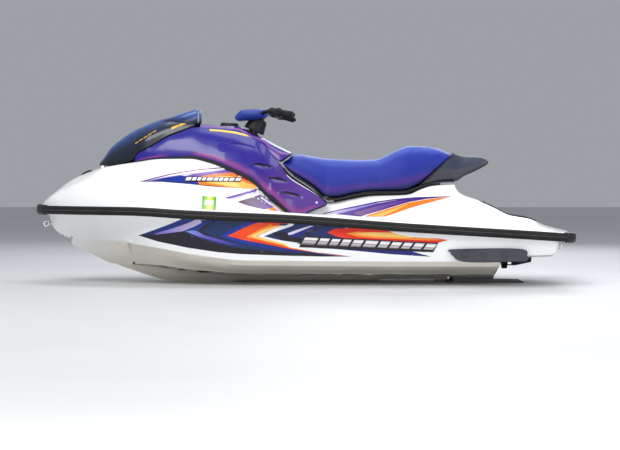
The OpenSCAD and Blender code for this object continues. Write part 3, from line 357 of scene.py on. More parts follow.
def bottom_gelcoat():
    """The planing bottom: a painted cream cast of reflected light and shade, whiter towards the bow, a little duller,
    with fine scuffs that run fore and aft.
    """
    f = Finish("gelcoat_bottom", 0.3, coat=0.3, coat_roughness=0.12)
    # painted cream cast of reflected light and shade over the bottom, mixed back to near white towards the bow
    painted_cream_cast = f.ramp(f.noise(5.0, 5), [(0.3, (0.74, 0.70, 0.61)), (0.7, (0.82, 0.78, 0.70))])
    base = f.mix(f.slant((1, 0, 0), -1000, -1350), painted_cream_cast, (0.80, 0.80, 0.83))
    scuffs = f.ramp(f.noise(60, 6, (0.06, 1, 1)), [(0.55, (0, 0, 0)), (0.72, (1, 1, 1))])
    f.color(f.mix(f.math("MULTIPLY", scuffs, 0.25), base, (0.45, 0.42, 0.36)))
    f.rough(f.noise(50, 5, (0.1, 1, 1)), 0.22, 0.42)
    return f.relief(f.noise(90, 3, (0.1, 1, 1)), 0.15, 0.3).material


def rubber(name="rubber_black", base=(0.012, 0.012, 0.013), low=0.45, high=0.65):
    f = Finish(name, 0.55, ior=1.45, specular=0.25)
    f.color(tinted(f, base, 0.25, 12))
    f.rough(f.noise(70, 4), low, high)
    return f.relief(f.noise(420, 3), 0.12, 0.5).material


def moulded(name, base, low=0.38, high=0.55, grain=650):
    """Moulded plastic with a fine grain."""
    f = Finish(name, 0.45, specular=0.3)
    f.color(tinted(f, base, 0.12, 9))
    f.rough(f.noise(55, 3), low, high)
    return f.relief(f.noise(grain, 2), 0.08, 0.6).material


WHITE = gelcoat()
BOTTOM = bottom_gelcoat()
RUBBER = rubber()
# lighter rubber for the strip in the rail's groove: its lighter tone is a painted highlight along the rail's middle
RUBBER_HIGHLIGHT_STRIP = rubber("rubber_painted_highlight", (0.055, 0.048, 0.046), 0.35, 0.5)
BLACK_PLASTIC = moulded("plastic_black", (0.018, 0.018, 0.02))
CHARCOAL = moulded("plastic_charcoal", (0.045, 0.047, 0.058), 0.4, 0.6, 520)


# ---- hull ----
def hull_half(x, cut=None):
    """The hull's starboard half section, out from the centre; cut is the pump tunnel or the intake slot."""
    keel = (0, along(KEEL_Z, x))
    low = (along(LOW_CHINE_Y, x), along(LOW_CHINE_Z, x))
    chine = (along(CHINE_Y, x), along(CHINE_Z, x))
    edge = along(OUTLINE, x)
    flange = along(RAIL_Z, x) - RAIL_H / 2
    side = (min(along(TOPSIDE_Y, x), edge - 1), flange - 2)
    strake, lip = lerp(keel, low, 0.42), lerp(keel, low, 0.52)
    step = min(1.0, low[0] / 90)   # the strake runs out where the bottom narrows into the stem
    if cut is None:
        start = [keel, lerp(keel, strake, 1 / 3), lerp(keel, strake, 2 / 3)]
    else:
        wide, roof = cut
        start = [(0, roof), (wide, roof), (wide, lerp(keel, strake, wide / strake[0])[1])]
    bulge = ((chine[0] + side[0]) / 2 + 5, (chine[1] + side[1]) / 2)
    topside = [lerp(lerp(chine, bulge, t), lerp(bulge, side, t), t) for t in (0.17, 0.33, 0.5, 0.67, 0.83)]
    bottom = [strake, (lip[0], min(lip[1], strake[1] + 3)), (lip[0] + 2 * step, lip[1]), lerp(lip, low, 0.5), low]
    return start + bottom + [chine] + topside + [side, (edge - 0.5, flange), (edge - 0.5, flange + 22)]


def hull_shell():
    slot_from, slot_to, slot_half = SLOT
    tunnel_from, tunnel_half, tunnel_roof = TUNNEL
    stops = [-1436, -1428, -1416, -1395, -1385, -1271, -690, slot_from, slot_to, tunnel_from, STEP_X, 1062, 1330,
             TRANSOM_X]
    rings = []
    for x in spread(stops, 22):
        cut = None
        if slot_from < x <= slot_to:
            cut = (slot_half, 38 + (x - slot_from) * 0.55)
        if x > tunnel_from:
            cut = (tunnel_half, tunnel_roof)
        rings.append(station(x, both_sides(hull_half(x, cut))))
        if x == slot_from:
            rings.append(station(x + 0.05, both_sides(hull_half(x, (slot_half, 38)))))
        if x == slot_to:
            rings.append(station(x + 0.05, both_sides(hull_half(x))))
        if x == tunnel_from:
            rings.append(station(x + 0.05, both_sides(hull_half(x, (tunnel_half, tunnel_roof)))))
    bm = bmesh.new()
    ends = skin(bm, rings)
    for row in (ends[0], ends[-1]):
        verts = {v for e in row for v in e.verts}
        tips = sorted(verts, key=lambda v: (round(v.co.z, 5), abs(v.co.y), v.co.y))[-2:]
        bmesh.ops.contextual_create(bm, geom=row + [bm.edges.new(tips)])
    stem = [v for v in bm.verts if v.co.x / MM < -1000]
    bmesh.ops.remove_doubles(bm, verts=stem, dist=6 * MM)   # keel, strake and chines run together there
    for f in bm.faces:
        below = all(v.co.z / MM <= along(CHINE_Z, v.co.x / MM) + 0.6 for v in f.verts)
        f.material_index = 1 if below and f.calc_center_median().x / MM < TRANSOM_X - 1 else 0
    hull = finished("hull_shell", bm, [WHITE, BOTTOM], "craft", 28, (0, 0, -1), ["lower_hull"])
    group = hull.vertex_groups.new(name="wall")   # the narrow bow has room for a thin wall only
    for v in hull.data.vertices:
        group.add([v.index], max(BOW_WALL, min(1.0, (v.co.x / MM + 1150) / 200)), "REPLACE")
    soften(hull, 3, 2, 30)
    thicken(hull, SHELL).vertex_group = "wall"
    return hull


# ---- deck ----
def deck_half(x):
    """The deck's starboard half section, out from the centre, before its corners are eased."""
    edge, rail = along(OUTLINE, x) - 0.5, along(RAIL_Z, x)
    tray = (min(along(TRAY_Y, x), edge * 0.5), along(TRAY_Z, x))
    foot = (min(along(FOOT_Y, x), edge * 0.7), along(FOOT_Z, x))
    floor = (min(along(FLOOR_Y, x), edge * 0.87), along(FLOOR_Z, x))
    crest = (min(along(CREST_Y, x), edge * 0.95), rail + along(CREST_RISE, x))
    lip = rail + RAIL_H / 2
    half = [(0, tray[1]), (min(HATCH[2], tray[0] * 0.6), tray[1]), tray, foot, floor, crest,
            (edge - min(4, edge * 0.02), lip + 4), (edge, lip), (edge, rail + 0.5)]
    ahead = clamp((-x - 60) / 240)
    cuts = [0.01, 22 + 10 * ahead, 24 + 8 * ahead, 24 + 50 * ahead, 20 + 50 * ahead, 3, 0.5]
    return eased(half, cuts, 5)


def deck_shell():
    stops = [-1436.5, -1430, -1418, -1400, BIN[0], BIN[1], -254, -197, -160, -120, -84, -55, -40, -20, 0, HATCH[0],
             HATCH[1], 836, 845, 869, 963, 1063, TRANSOM_X, 1425, 1436.5]
    bm = bmesh.new()
    ends = skin(bm, [station(x, both_sides(deck_half(x))) for x in spread(stops, 20)])
    for row in (ends[0], ends[-1]):
        verts = {v for e in row for v in e.verts}
        tips = sorted(verts, key=lambda v: (round(v.co.z, 5), -abs(v.co.y), v.co.y))[:2]
        bmesh.ops.contextual_create(bm, geom=row + [bm.edges.new(tips)])
    for start, end, half in (HATCH, BIN):
        gone = [f for f in bm.faces if start < f.calc_center_median().x / MM < end
                and abs(f.calc_center_median().y / MM) < half * 0.999
                and max(abs(v.co.y) for v in f.verts) / MM < half + 0.5]
        bmesh.ops.delete(bm, geom=gone, context="FACES")
    soffit = [[(x * MM, s * (along(OUTLINE, x) - 2) * MM, (along(RAIL_Z, x) + 1) * MM) for s in (-1, -0.3, 0.3, 1)]
              for x in spread([TRANSOM_X - 8, 1425, 1436], 12)]
    deck = finished("deck_shell", bm, WHITE, "craft", 40, (0, 0, 1), ["deck"])
    thicken(deck, SHELL)
    bm = bmesh.new()
    skin(bm, soffit)
    under = finished("stern_underside", bm, WHITE, "craft", 40, (0, 0, -1))
    thicken(under, 5)
    return deck


# ---- rub rail and bumpers ----
def outline_path(start, end, step, ease_bow=False, ease_stern=False):
    n = max(6, round((end - start) / step))
    xs = [start + (end - start) * i / n for i in range(n + 1)]
    if ease_bow:
        xs = [start + (end - start) * (i / 16) ** 2 for i in range(17)]
    if ease_stern:
        xs = [end - (end - start) * (1 - i / 12) ** 2 for i in range(13)]
    return [(x, along(OUTLINE, x)) for x in xs]


def swept_band(bm, path, profile, thick, high, z_from=None):
    """A band outside the shell: profile is (out, up) pairs from 0 to 1 and -1 to 1."""
    rings = []
    for i, (x, y) in enumerate(path):
        a, b = path[max(0, i - 1)], path[min(len(path) - 1, i + 1)]
        along_it = Vector((b[0] - a[0], b[1] - a[1])).normalized()
        out = Vector((-along_it.y, along_it.x))
        z = along(RAIL_Z, x)
        rings.append([((x + out.x * o * thick) * MM, (y + out.y * o * thick) * MM, (z + u * high / 2) * MM)
                      for o, u in profile])
    skin(bm, rings, closed=True, cap=(0, -1))


RAIL_PROFILE = [(0.01, -1), (0.5, -1), (0.78, -0.86), (0.95, -0.6), (1, -0.3), (0.98, -0.17), (0.86, -0.13),
                (0.86, 0.13), (0.98, 0.17), (1, 0.3), (0.95, 0.6), (0.78, 0.86), (0.5, 1), (0.01, 1)]
# the groove strip, which carries the rail's painted highlight
HIGHLIGHT_STRIP_PROFILE = [(0.85, -0.12), (0.93, -0.12), (0.97, -0.06), (0.97, 0.06), (0.93, 0.12), (0.85, 0.12)]
BUMPER_PROFILE = [(0.01, -1), (0.55, -1), (0.82, -0.85), (0.97, -0.5), (1, 0), (0.97, 0.5), (0.82, 0.85), (0.55, 1),
                  (0.01, 1)]


def rails():
    for name, profile, finish in (("rub_rail_extrusion", RAIL_PROFILE, RUBBER),
                                  ("rub_rail_insert", HIGHLIGHT_STRIP_PROFILE, RUBBER_HIGHLIGHT_STRIP)):
        bm = bmesh.new()
        swept_band(bm, outline_path(-1391, 1395, 24), profile, RAIL_T, RAIL_H)
        both(bm)
        rail = finished(name, bm, finish, "craft", 40)
        if name == "rub_rail_extrusion":
            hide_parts("rub_rail")
    bm = bmesh.new()
    nose = outline_path(-1437, -1388, 4, ease_bow=True)
    swept_band(bm, [(x, -y) for x, y in reversed(nose)] + nose, BUMPER_PROFILE, RAIL_T - 0.5, RAIL_H + 8)
    for v in bm.verts:   # the nose is drawn up into a low prow
        ahead = max(0, (-1405 - v.co.x / MM) / 60)
        v.co.z += ahead * 4 * MM if v.co.z > along(RAIL_Z, -1430) * MM else 0
    bow = finished("bow_bumper_moulding", bm, BLACK_PLASTIC, "craft", 40, replaces=["bow_bumper"])
    soften(bow, 1.5)
    bm = bmesh.new()
    corner = outline_path(1392, 1437, 4, ease_stern=True)
    corner += [(1437, 400 - d) for d in (12, 30, 60, 100, 150, 200, 236, 240)]
    swept_band(bm, corner, BUMPER_PROFILE, RAIL_T - 0.5, RAIL_H + 8)
    both(bm)
    stern = finished("stern_bumper_mouldings", bm, BLACK_PLASTIC, "craft", 40,
                     replaces=["stern_bumpers"])
    soften(stern, 1.5)


# ---- shapes over the deck: cowl, hood and seat lines ----
COVER_TOP_Y = [[-905, 205], [-827, 226], [-721, 227], [-653, 219], [-570, 207], [-450, 198], [-342, 192],
               [-273, 188], [-202, 196], [-160, 214], [-116, 236], [-66, 252], [10, 264], [66, 272], [139, 283]]
COVER_TOP_Z = [[-905, 672], [-885, 705], [-827, 733], [-721, 794], [-653, 821], [-570, 848], [-450, 839],
               [-342, 824], [-273, 796], [-202, 752], [-160, 700], [-116, 650], [-85, 611], [-66, 590], [10, 538],
               [66, 500], [139, 441]]
COVER_LOW_Y = [[-905, 212], [-826, 240], [-752, 260], [-679, 272], [-606, 282], [-558, 288], [-486, 294],
               [-413, 304], [-357, 308], [-292, 312], [-254, 318], [-197, 330], [-159, 338], [-122, 340],
               [-84, 338], [-20, 325], [46, 308], [139, 288]]
COVER_FREE_Z = [[-159, 464], [-122, 430], [-84, 395], [-45, 366], [-20, 358], [15, 368], [46, 392], [130, 426],
                [139, 432]]
CONSOLE_Z = [[-549, 870], [-540, 870], [-451, 862], [-342, 856], [-300, 838], [-273, 818], [-202, 792],
             [-160, 769], [-101, 739], [-50, 712]]
CONSOLE_EDGE_Y = [[-549, 200.8], [-450, 194.9], [-342, 189], [-273, 185.4], [-202, 193.2], [-160, 211.4],
                  [-116, 229], [-80, 218], [-50, 192]]
CONSOLE_EDGE_Z = [[-549, 846.5], [-450, 839.8], [-342, 824.8], [-273, 796.8], [-202, 752.8], [-160, 701.5],
                  [-116, 667], [-80, 689], [-50, 708]]
HOOD_TOP = [[-1112, 660], [-1091, 684], [-1048, 743], [-1001, 782], [-916, 837], [-846, 868], [-791, 889],
            [-729, 906], [-665, 914], [-575, 912]]
HOOD_EDGE_Y = [[-1112, 40], [-1086, 72], [-1048, 108], [-986, 155], [-905, 200], [-827, 221], [-721, 222],
               [-653, 214], [-575, 202]]
HOOD_EDGE_Z = [[-1112, 641], [-1086, 642], [-986, 656], [-915, 674], [-885, 716], [-827, 741], [-721, 802],
               [-653, 829], [-575, 858]]
SEAT_LOW_Y = [[-112, 210], [-66, 238], [10, 256], [66, 261], [145, 262], [194, 258], [270, 250], [384, 242],
              [534, 232], [575, 226], [609, 214], [656, 200], [710, 182], [780, 170], [836, 160], [940, 140],
              [1037, 112]]
SEAT_LOW_Z = [[-112, 660], [-66, 602], [10, 550], [66, 512], [145, 450], [194, 452], [270, 469], [384, 487],
              [534, 489], [575, 492], [609, 508], [656, 526], [710, 540], [780, 549], [836, 551], [887, 582],
              [940, 606], [990, 631], [1022, 650], [1037, 658]]
SEAT_TOP_Z = [[-112, 664], [-75, 684], [-43, 699], [10, 700], [49, 692], [160, 677], [316, 671], [409, 673],
              [471, 696], [546, 734], [592, 748], [677, 745], [793, 727], [850, 708], [900, 694], [988, 690],
              [1022, 676], [1037, 664]]
SEAM = (615, 505, 48)           # the seam of cushion and tail: through this place, leaning back so many degrees
COLUMN_TOP = Vector((-232, 0, 900))
COLUMN_LEAN = math.radians(25)
COLUMN = Vector((math.sin(COLUMN_LEAN), 0, math.cos(COLUMN_LEAN)))
ASIDE = Vector((0, 1, 0))
COLUMN_FORE = COLUMN.cross(ASIDE).normalized()
COLUMN_HOLE = 34.5


def flowing(points, n):
    """n + 1 points on a smooth curve through the points."""
    out = []
    for k in range(n + 1):
        s = k / n * (len(points) - 1)
        i = min(int(s), len(points) - 2)
        t = s - i
        a, b = points[i], points[i + 1]
        before = points[i - 1] if i else lerp(b, a, 2)
        after = points[i + 2] if i + 2 < len(points) else lerp(a, b, 2)
        out.append(tuple(0.5 * (2 * q + (r - p) * t + (2 * p - 5 * q + 4 * r - u) * t * t
                                + (3 * q - p - 3 * r + u) * t ** 3)
                         for p, q, r, u in zip(before, a, b, after)))
    return out


def across(half, y):
    for a, b in zip(half, half[1:]):
        if y <= b[0]:
            return a[1] + (b[1] - a[1]) * (y - a[0]) / max(1e-6, b[0] - a[0])
    return half[-1][1]


def cover_half(x):
    """The cover's section, from its upper edge down to its lower one."""
    u = (along(COVER_TOP_Y, x), along(COVER_TOP_Z, x))
    y = along(COVER_LOW_Y, x)
    f = clamp((x + 200) / 60)
    f = f * f * (3 - 2 * f)
    on_deck = across(deck_half(x), y) + 3 if f < 1 else 0
    low = (y, (1 - f) * on_deck + f * along(COVER_FREE_Z, x))
    d = (low[0] - u[0], low[1] - u[1])
    return [u] + [(u[0] + d[0] * a, u[1] + d[1] * b) for a, b in ((0.42, 0.25), (0.74, 0.55), (0.93, 0.8))] + [low]


# Louvres and the long crease over them: from, to, depth, how far the slope under the slit runs, bow of the slit
LOUVRES = (((-276, 646), (-146, 626), 13, 30, 12), ((-190, 572), (-62, 548), 13, 30, 12),
           ((-128, 494), (12, 468), 13, 32, 12), ((-446, 752), (-240, 730), 8, 44, 16))


def louvre_depth(x, z):
    depth = 0
    for (x0, z0), (x1, z1), deep, run, bow in LOUVRES:
        length = math.hypot(x1 - x0, z1 - z0)
        ux, uz = (x1 - x0) / length, (z1 - z0) / length
        t = ((x - x0) * ux + (z - z0) * uz) / length
        if 0 < t < 1:
            above = -(x - x0) * uz + (z - z0) * ux - bow * 4 * t * (1 - t)
            fade = max(0.0, 1 - above / 5) if above > 0 else max(0.0, 1 + above / run) ** 1.4
            depth = max(depth, deep * 4 * t * (1 - t) * fade)
    return depth


def surface_loft(name, xs, half, n, materials, body, replaces, mirrored=False, dent=None, smooth=40,
                 cut=None, outward=(0, 0, 1)):
    """A panel over stations: half gives its section; its wall goes inwards; 'across' runs 0 to 1 over it."""
    bm = bmesh.new()
    rings = []
    for x in xs:
        line = flowing(half(x), n)
        if mirrored:
            line = both_sides(line)
        if dent:
            line = [(y - dent(x, z), z) for y, z in line]
        rings.append(station(x, line))
    skin(bm, rings)
    layer = bm.verts.layers.float.new("across")
    bm.verts.ensure_lookup_table()
    count = len(rings[0])
    for i, v in enumerate(bm.verts):
        v[layer] = (i % count) / (count - 1)
    if mirrored:
        for i, v in enumerate(bm.verts):
            v[layer] = abs(v[layer] * 2 - 1)
    if cut:
        cut(bm)
    piece = finished(name, bm, materials, body, smooth, outward, replaces)
    thicken(piece, PANEL)
    return piece


def strip(name, xs, section, lift, material):
    """A thin strip laid over the cowl, on both sides, as trim or as painted shadow: section(x) gives its few points.
    """
    bm = bmesh.new()
    skin(bm, [station(x, section(x)) for x in xs])
    bmesh.ops.recalc_face_normals(bm, faces=bm.faces)
    middle = sum((f.normal * f.calc_area() for f in bm.faces), Vector())
    if middle.y < 0:
        bmesh.ops.reverse_faces(bm, faces=bm.faces)
    bm.normal_update()
    moves = [(v, v.normal * lift * MM) for v in bm.verts]
    for v, move in moves:
        v.co += move
    copies = bmesh.ops.duplicate(bm, geom=whole(bm))["geom"]
    for v in only(bmesh.types.BMVert, copies):
        v.co.y = -v.co.y
    bmesh.ops.reverse_faces(bm, faces=only(bmesh.types.BMFace, copies))
    placed(name, bm, material, "craft")


def tube(bm, path, r, n=10, closed=False):
    """A round bead along a path in millimetres."""
    path = [Vector(p) for p in path]
    rings = []
    for i, p in enumerate(path):
        a = path[i - 1] if i or closed else path[0]
        b = path[(i + 1) % len(path)] if i + 1 < len(path) or closed else path[-1]
        d = (b - a).normalized()
        side = d.cross(Vector((0, 0, 1)) if abs(d.z) < 0.9 else Vector((1, 0, 0))).normalized()
        rings.append([q * MM for q in circle(p, side, side.cross(d), r, n)])
    if closed:
        rings.append(rings[0])
    skin(bm, rings, closed=True, cap=() if closed else (0, -1))


def beading(name, paths, r, body):
    """Black beads along paths on the starboard side, and the same on the port side."""
    bm = bmesh.new()
    for path in paths:
        for side in (1, -1):
            tube(bm, [(x, side * y, z) for x, y, z in path], r)
    finished(name, bm, BLACK_TRIM_AND_SHADE, body, 50)


def cowl_paint():
    """Metallic royal blue that turns violet down the leg, partly its own tone and partly painted violet sheen, with a
    painted rosy highlight by the lower edge.
    """
    f = Finish("paint_cowl", 0.3, coat=0.3, coat_roughness=0.07, specular=0.35)
    # violet down the leg: partly the paint's own tone, partly painted sheen
    leg = f.slant((0.71, 0, -0.71), -840, -330)
    base = f.ramp(leg, [(0, (0.014, 0.011, 0.22)), (0.4, (0.022, 0.010, 0.22)), (0.75, (0.060, 0.018, 0.20)),
                        (1, (0.085, 0.035, 0.24))], True)
    edge = f.attribute("across")
    # painted highlight: a rosy band just inside the lower edge, broken into patches
    painted_highlight = f.ramp(edge, [(0.62, (0, 0, 0)), (0.8, (1, 1, 1)), (0.9, (0, 0, 0))], True)
    patchy = f.ramp(f.noise(4, 2), [(0.36, (0, 0, 0)), (0.56, (1, 1, 1))], True)
    f.color(f.mix(f.math("MULTIPLY", f.math("MULTIPLY", painted_highlight, patchy), 0.7), base, (0.30, 0.045, 0.20)))
    f.rough(f.noise(60, 4), 0.24, 0.36)
    return f.relief(f.noise(1400, 1), 0.02, 0.3).material


def hood_paint():
    """Dark navy with a painted blue highlight that lightens it along the ridge."""
    f = Finish("paint_hood", 0.3, coat=0.3, coat_roughness=0.07, specular=0.35)
    edge = f.attribute("across")
    # painted highlight: blue along the ridge, where 'across' is low, going down to dark navy at the sides
    f.color(f.ramp(edge, [(0, (0.045, 0.10, 0.33)), (0.4, (0.034, 0.08, 0.27)), (0.6, (0.016, 0.036, 0.115)),
                          (0.76, (0.009, 0.016, 0.036)), (1, (0.007, 0.012, 0.018))], True))
    return f.rough(f.noise(60, 4), 0.24, 0.36).relief(f.noise(1400, 1), 0.02, 0.3).material


def vinyl(name, low, high, bounds=(0.42, 0.56)):
    """Marine vinyl: an embossed grain over a slow drift of colour."""
    f = Finish(name, 0.5, ior=1.45, specular=0.3)
    f.color(f.ramp(f.noise(5, 3), [(0.3, low), (0.7, high)]))
    f.rough(f.noise(80, 3), *bounds)
    return f.relief(f.embossed(), 0.25, 0.45).material


def seat_vinyl():
    """Royal blue, with painted light: a painted highlight on the crest, a painted violet highlight band, and painted
    shade along the lower edge.
    """
    f = Finish("vinyl_blue", 0.5, ior=1.45, specular=0.28)
    # painted light by height up the side: painted shade at the lower edge, a painted violet highlight band, then a
    # painted highlight on the crest
    base = f.ramp(f.attribute("rise"), [(0, (0.004, 0.008, 0.035)), (0.10, (0.006, 0.012, 0.075)),
                                        (0.22, (0.055, 0.020, 0.20)),
                                        (0.40, (0.012, 0.022, 0.24)), (0.8, (0.012, 0.028, 0.29)),
                                        (1, (0.040, 0.085, 0.42))], True)
    f.color(f.mix(f.math("MULTIPLY", f.noise(9, 4), 0.25), base, (0.008, 0.016, 0.18)))
    f.rough(f.noise(80, 3), 0.42, 0.56)
    return f.relief(f.embossed(), 0.25, 0.4).material


COWL = cowl_paint()
HOOD = hood_paint()
# black rubber for trim and seals, also used for the cowl's painted shadow strips
BLACK_TRIM_AND_SHADE = rubber("black_trim_and_painted_shade", (0.014, 0.013, 0.016), 0.4, 0.55)
VINYL_BLUE = seat_vinyl()
VINYL_DARK = vinyl("vinyl_dark", (0.018, 0.024, 0.045), (0.028, 0.04, 0.075))


def solid(name, base, rough=(0.2, 0.32), coat=0.3):
    f = Finish(name, 0.3, coat=coat, coat_roughness=0.08)
    f.color(tinted(f, base, 0.05, 8))
    return f.rough(f.noise(50, 3), *rough).material


PALE = solid("trim_pale", (0.62, 0.60, 0.74))


# ---- cowl, console and hood ----
def cowl():
    panels = []
    xs = spread([-902, -885, -460, 40, 134], 8)
    xs = [x for x in xs if x < -460] + spread([-460, 40], 4) + [x for x in xs if x > 40.1]
    for side, name, node in ((1, "cowl_starboard", "side_cover_starboard"), (-1, "cowl_port", "side_cover_port")):
        half = (lambda x: [(side * y, z) for y, z in cover_half(x)])
        panels.append(surface_loft(name, xs, half, 72, COWL, "craft", [node],
                                   outward=(0, side, 0.2), dent=(lambda x, z: side * louvre_depth(x, z)),
                                   smooth=50))

    def band(a, b):
        return lambda x: [p for i, p in enumerate(flowing(cover_half(x), 100)) if a * 100 <= i <= b * 100]

    low = [(x, *flowing(cover_half(x), 4)[-1]) for x in spread([-900, -160, 15, 134], 12)]
    high = [(x, *cover_half(x)[0]) for x in spread([-100, 10, 134], 10)]
    rear = [(134 + 1.5, *p) for p in flowing(cover_half(134), 6)]
    beading("cowl_edge_beading", [low, high + rear], 4.2, "craft")
    # painted shadow: black strips along the cowl's lower edge and along its rear top edge, where shade falls
    strip("cowl_lower_shadow", spread([-880, -160, 20], 10), band(0.89, 0.98), 0.8, BLACK_TRIM_AND_SHADE)
    strip("cowl_rear_line", spread([-78, 66, 126], 8), band(0.05, 0.085), 0.7, PALE)
    strip("cowl_rear_shadow", spread([-96, 66, 130], 8), band(0.0, 0.05), 0.7, BLACK_TRIM_AND_SHADE)
    rivet = bmesh.new()
    for s in (1, -1):
        made = bmesh.ops.create_uvsphere(rivet, u_segments=20, v_segments=10, radius=7 * MM)["verts"]
        spot = across(sorted((z, y) for y, z in flowing(cover_half(84), 40)), 440)
        for v in made:
            v.co = Vector((84 * MM + v.co.x, s * (spot * MM + v.co.y * 0.45), 440 * MM + v.co.z))
    finished("cowl_rivets", rivet, PALE, "craft", 60)
    return panels


def console():
    def half(x):
        zt, ye, ze = along(CONSOLE_Z, x), along(CONSOLE_EDGE_Y, x), along(CONSOLE_EDGE_Z, x)
        d = zt - ze
        return [(0, zt), (ye * 0.4, zt - d * 0.03), (ye * 0.72, zt - d * 0.16), (ye * 0.92, zt - d * 0.5), (ye, ze)]

    top = COLUMN_TOP * MM

    def hole(bm):
        """Opens the console round the steering column and draws the rim onto a circle."""
        def off(p):
            return (p - top) - COLUMN * (p - top).dot(COLUMN)
        gone = [f for f in bm.faces if off(f.calc_center_median()).length < 34 * MM]
        bmesh.ops.delete(bm, geom=gone, context="FACES")
        for v in bm.verts:
            d = off(v.co)
            if d.length < 41 * MM and v.is_boundary:
                v.co += d.normalized() * (COLUMN_HOLE * MM - d.length)

    surface_loft("console_cover", spread([-549, -340, -52], 6), half, 30, COWL, "craft",
                 ["console_top"], mirrored=True, cut=hole)
    bm = bmesh.new()
    ring = []
    for d in circle(Vector(), COLUMN_FORE, ASIDE, COLUMN_HOLE + 1, 36):
        x = -290.0
        for _ in range(12):   # closes in on where the console's skin meets this line of the column
            spot = Vector((x, d.y, along(CONSOLE_Z, x) - 1))
            x = COLUMN_TOP.x + COLUMN.x * (spot - COLUMN_TOP).dot(COLUMN) + d.x
        ring.append((x, d.y, along(CONSOLE_Z, x) + 1))
    tube(bm, ring, 4, closed=True)
    finished("column_gaiter_rim", bm, BLACK_TRIM_AND_SHADE, "craft", 50)


def hood():
    def half(x):
        zt, ye, ze = along(HOOD_TOP, x), along(HOOD_EDGE_Y, x), along(HOOD_EDGE_Z, x)
        d = zt - ze
        return [(0, zt), (ye * 0.32, zt - d * 0.02), (ye * 0.56, zt - d * 0.07), (ye * 0.78, zt - d * 0.28),
                (ye * 0.93, zt - d * 0.6), (ye, ze)]

    def slots(bm):
        """Clears the hinge's leaves, which stand in the front edge when the hood is up."""
        gone = [f for f in bm.faces if f.calc_center_median().x < -1084 * MM
                and 17 * MM < abs(f.calc_center_median().y) < 28 * MM and f.calc_center_median().z < 686 * MM]
        bmesh.ops.delete(bm, geom=gone, context="FACES")

    lid = surface_loft("hood_moulding", spread([-1112, -1084, -1048, -575], 7), half, 40, HOOD, "hood",
                       ["hood"], mirrored=True, cut=slots)
    bm = bmesh.new()
    for side in (1, -1):
        rings = []
        for t in (0, 0.05, 0.14, 0.26, 0.4, 0.55, 0.7, 0.82, 0.92, 0.97, 1.0):
            x = -782 + 220 * t
            grow = math.sin(min(1, t * 1.25) * math.pi / 2) ** 0.8
            wide, high = 12 + 39 * grow, 10 + 34 * grow
            mid = (130 + 25 * t, 862 + 12 * t + 34 * t * t)
            if t == 1.0:
                wide, high = wide - 3, high - 3
            ring = []
            for k in range(28):
                c, s = math.cos(k * math.tau / 28), math.sin(k * math.tau / 28)
                y = mid[0] + math.copysign(abs(c) ** 0.62, c) * wide
                z = mid[1] + math.copysign(abs(s) ** 0.62, s) * high
                ring.append((x * MM, side * y * MM, min(z, 955.5) * MM))
            rings.append(ring)
        skin(bm, rings, closed=True, cap=(0, -1))
    # the pods' tops take the hood's painted blue highlight; lower down they darken to navy
    layer = bm.verts.layers.float.new("across")
    for v in bm.verts:
        v[layer] = max(0.0, min(0.7, (930 - v.co.z / MM) / 60))
    pods = finished("mirror_pods", bm, HOOD, "hood", 50)
    soften(pods, 3, 3, 45)
    edge = [(x, along(HOOD_EDGE_Y, x) - 1, along(HOOD_EDGE_Z, x)) for x in spread([-1080, -900, -578], 10)]
    beading("hood_edge_seal", [edge], 3.4, "hood")
    return lid


# ---- seat ----
def seat_half(x, inset=0.0):
    zt, ye = along(SEAT_TOP_Z, x), along(SEAT_LOW_Y, x)
    raised = 8.3 if x < 838 else 0
    zl = along(SEAT_LOW_Z, x) + raised
    d = zt - zl
    rough = [(0, zt), (ye * 0.3, zt - d * 0.005), (ye * 0.52, zt - d * 0.05), (ye * 0.68, zt - d * 0.16),
             (ye * 0.82, zt - d * 0.42), (ye * 0.93, zt - d * 0.7), (ye, zl + min(14, d * 0.4)), (ye - 4, zl)]
    mid = (0, (zt + zl) / 2)
    if inset:
        rough = [(y - min(inset, y), z + (inset if z < mid[1] else -inset) * min(1, d / 60)) for y, z in rough]
    return flowing(rough, 28)


def behind_seam(p):
    a = math.radians(SEAM[2])
    return (p[0] - SEAM[0]) * math.cos(a) - (p[1] - SEAM[1]) * math.sin(a)


def seat_block(keep_tail, inset):
    """The seat's whole form, cut at the seam; the part kept is closed again."""
    bm = bmesh.new()
    skin(bm, [station(x, both_sides(seat_half(x, inset))) for x in spread([-104, -60, 836, 1034], 12)],
         closed=True, cap=(0, -1))
    a = math.radians(SEAM[2])
    normal = Vector((math.cos(a), 0, -math.sin(a)))
    gap = (0.8 + inset * 0.5) * MM
    place = Vector((SEAM[0], 0, SEAM[1])) * MM + normal * (gap if keep_tail else -gap)
    cut = bmesh.ops.bisect_plane(bm, geom=whole(bm), plane_co=place, plane_no=normal, clear_inner=keep_tail,
                                 clear_outer=not keep_tail)
    bmesh.ops.contextual_create(bm, geom=only(bmesh.types.BMEdge, cut["geom_cut"]))
    return bm


def evaluated(piece):
    """The piece's mesh with its modifiers applied."""
    bpy.context.view_layer.update()
    graph = bpy.context.evaluated_depsgraph_get()
    graph.update()
    mesh = bpy.data.meshes.new_from_object(piece.evaluated_get(graph))
    piece.modifiers.clear()
    old, piece.data = piece.data, mesh
    bpy.data.meshes.remove(old)
    return mesh


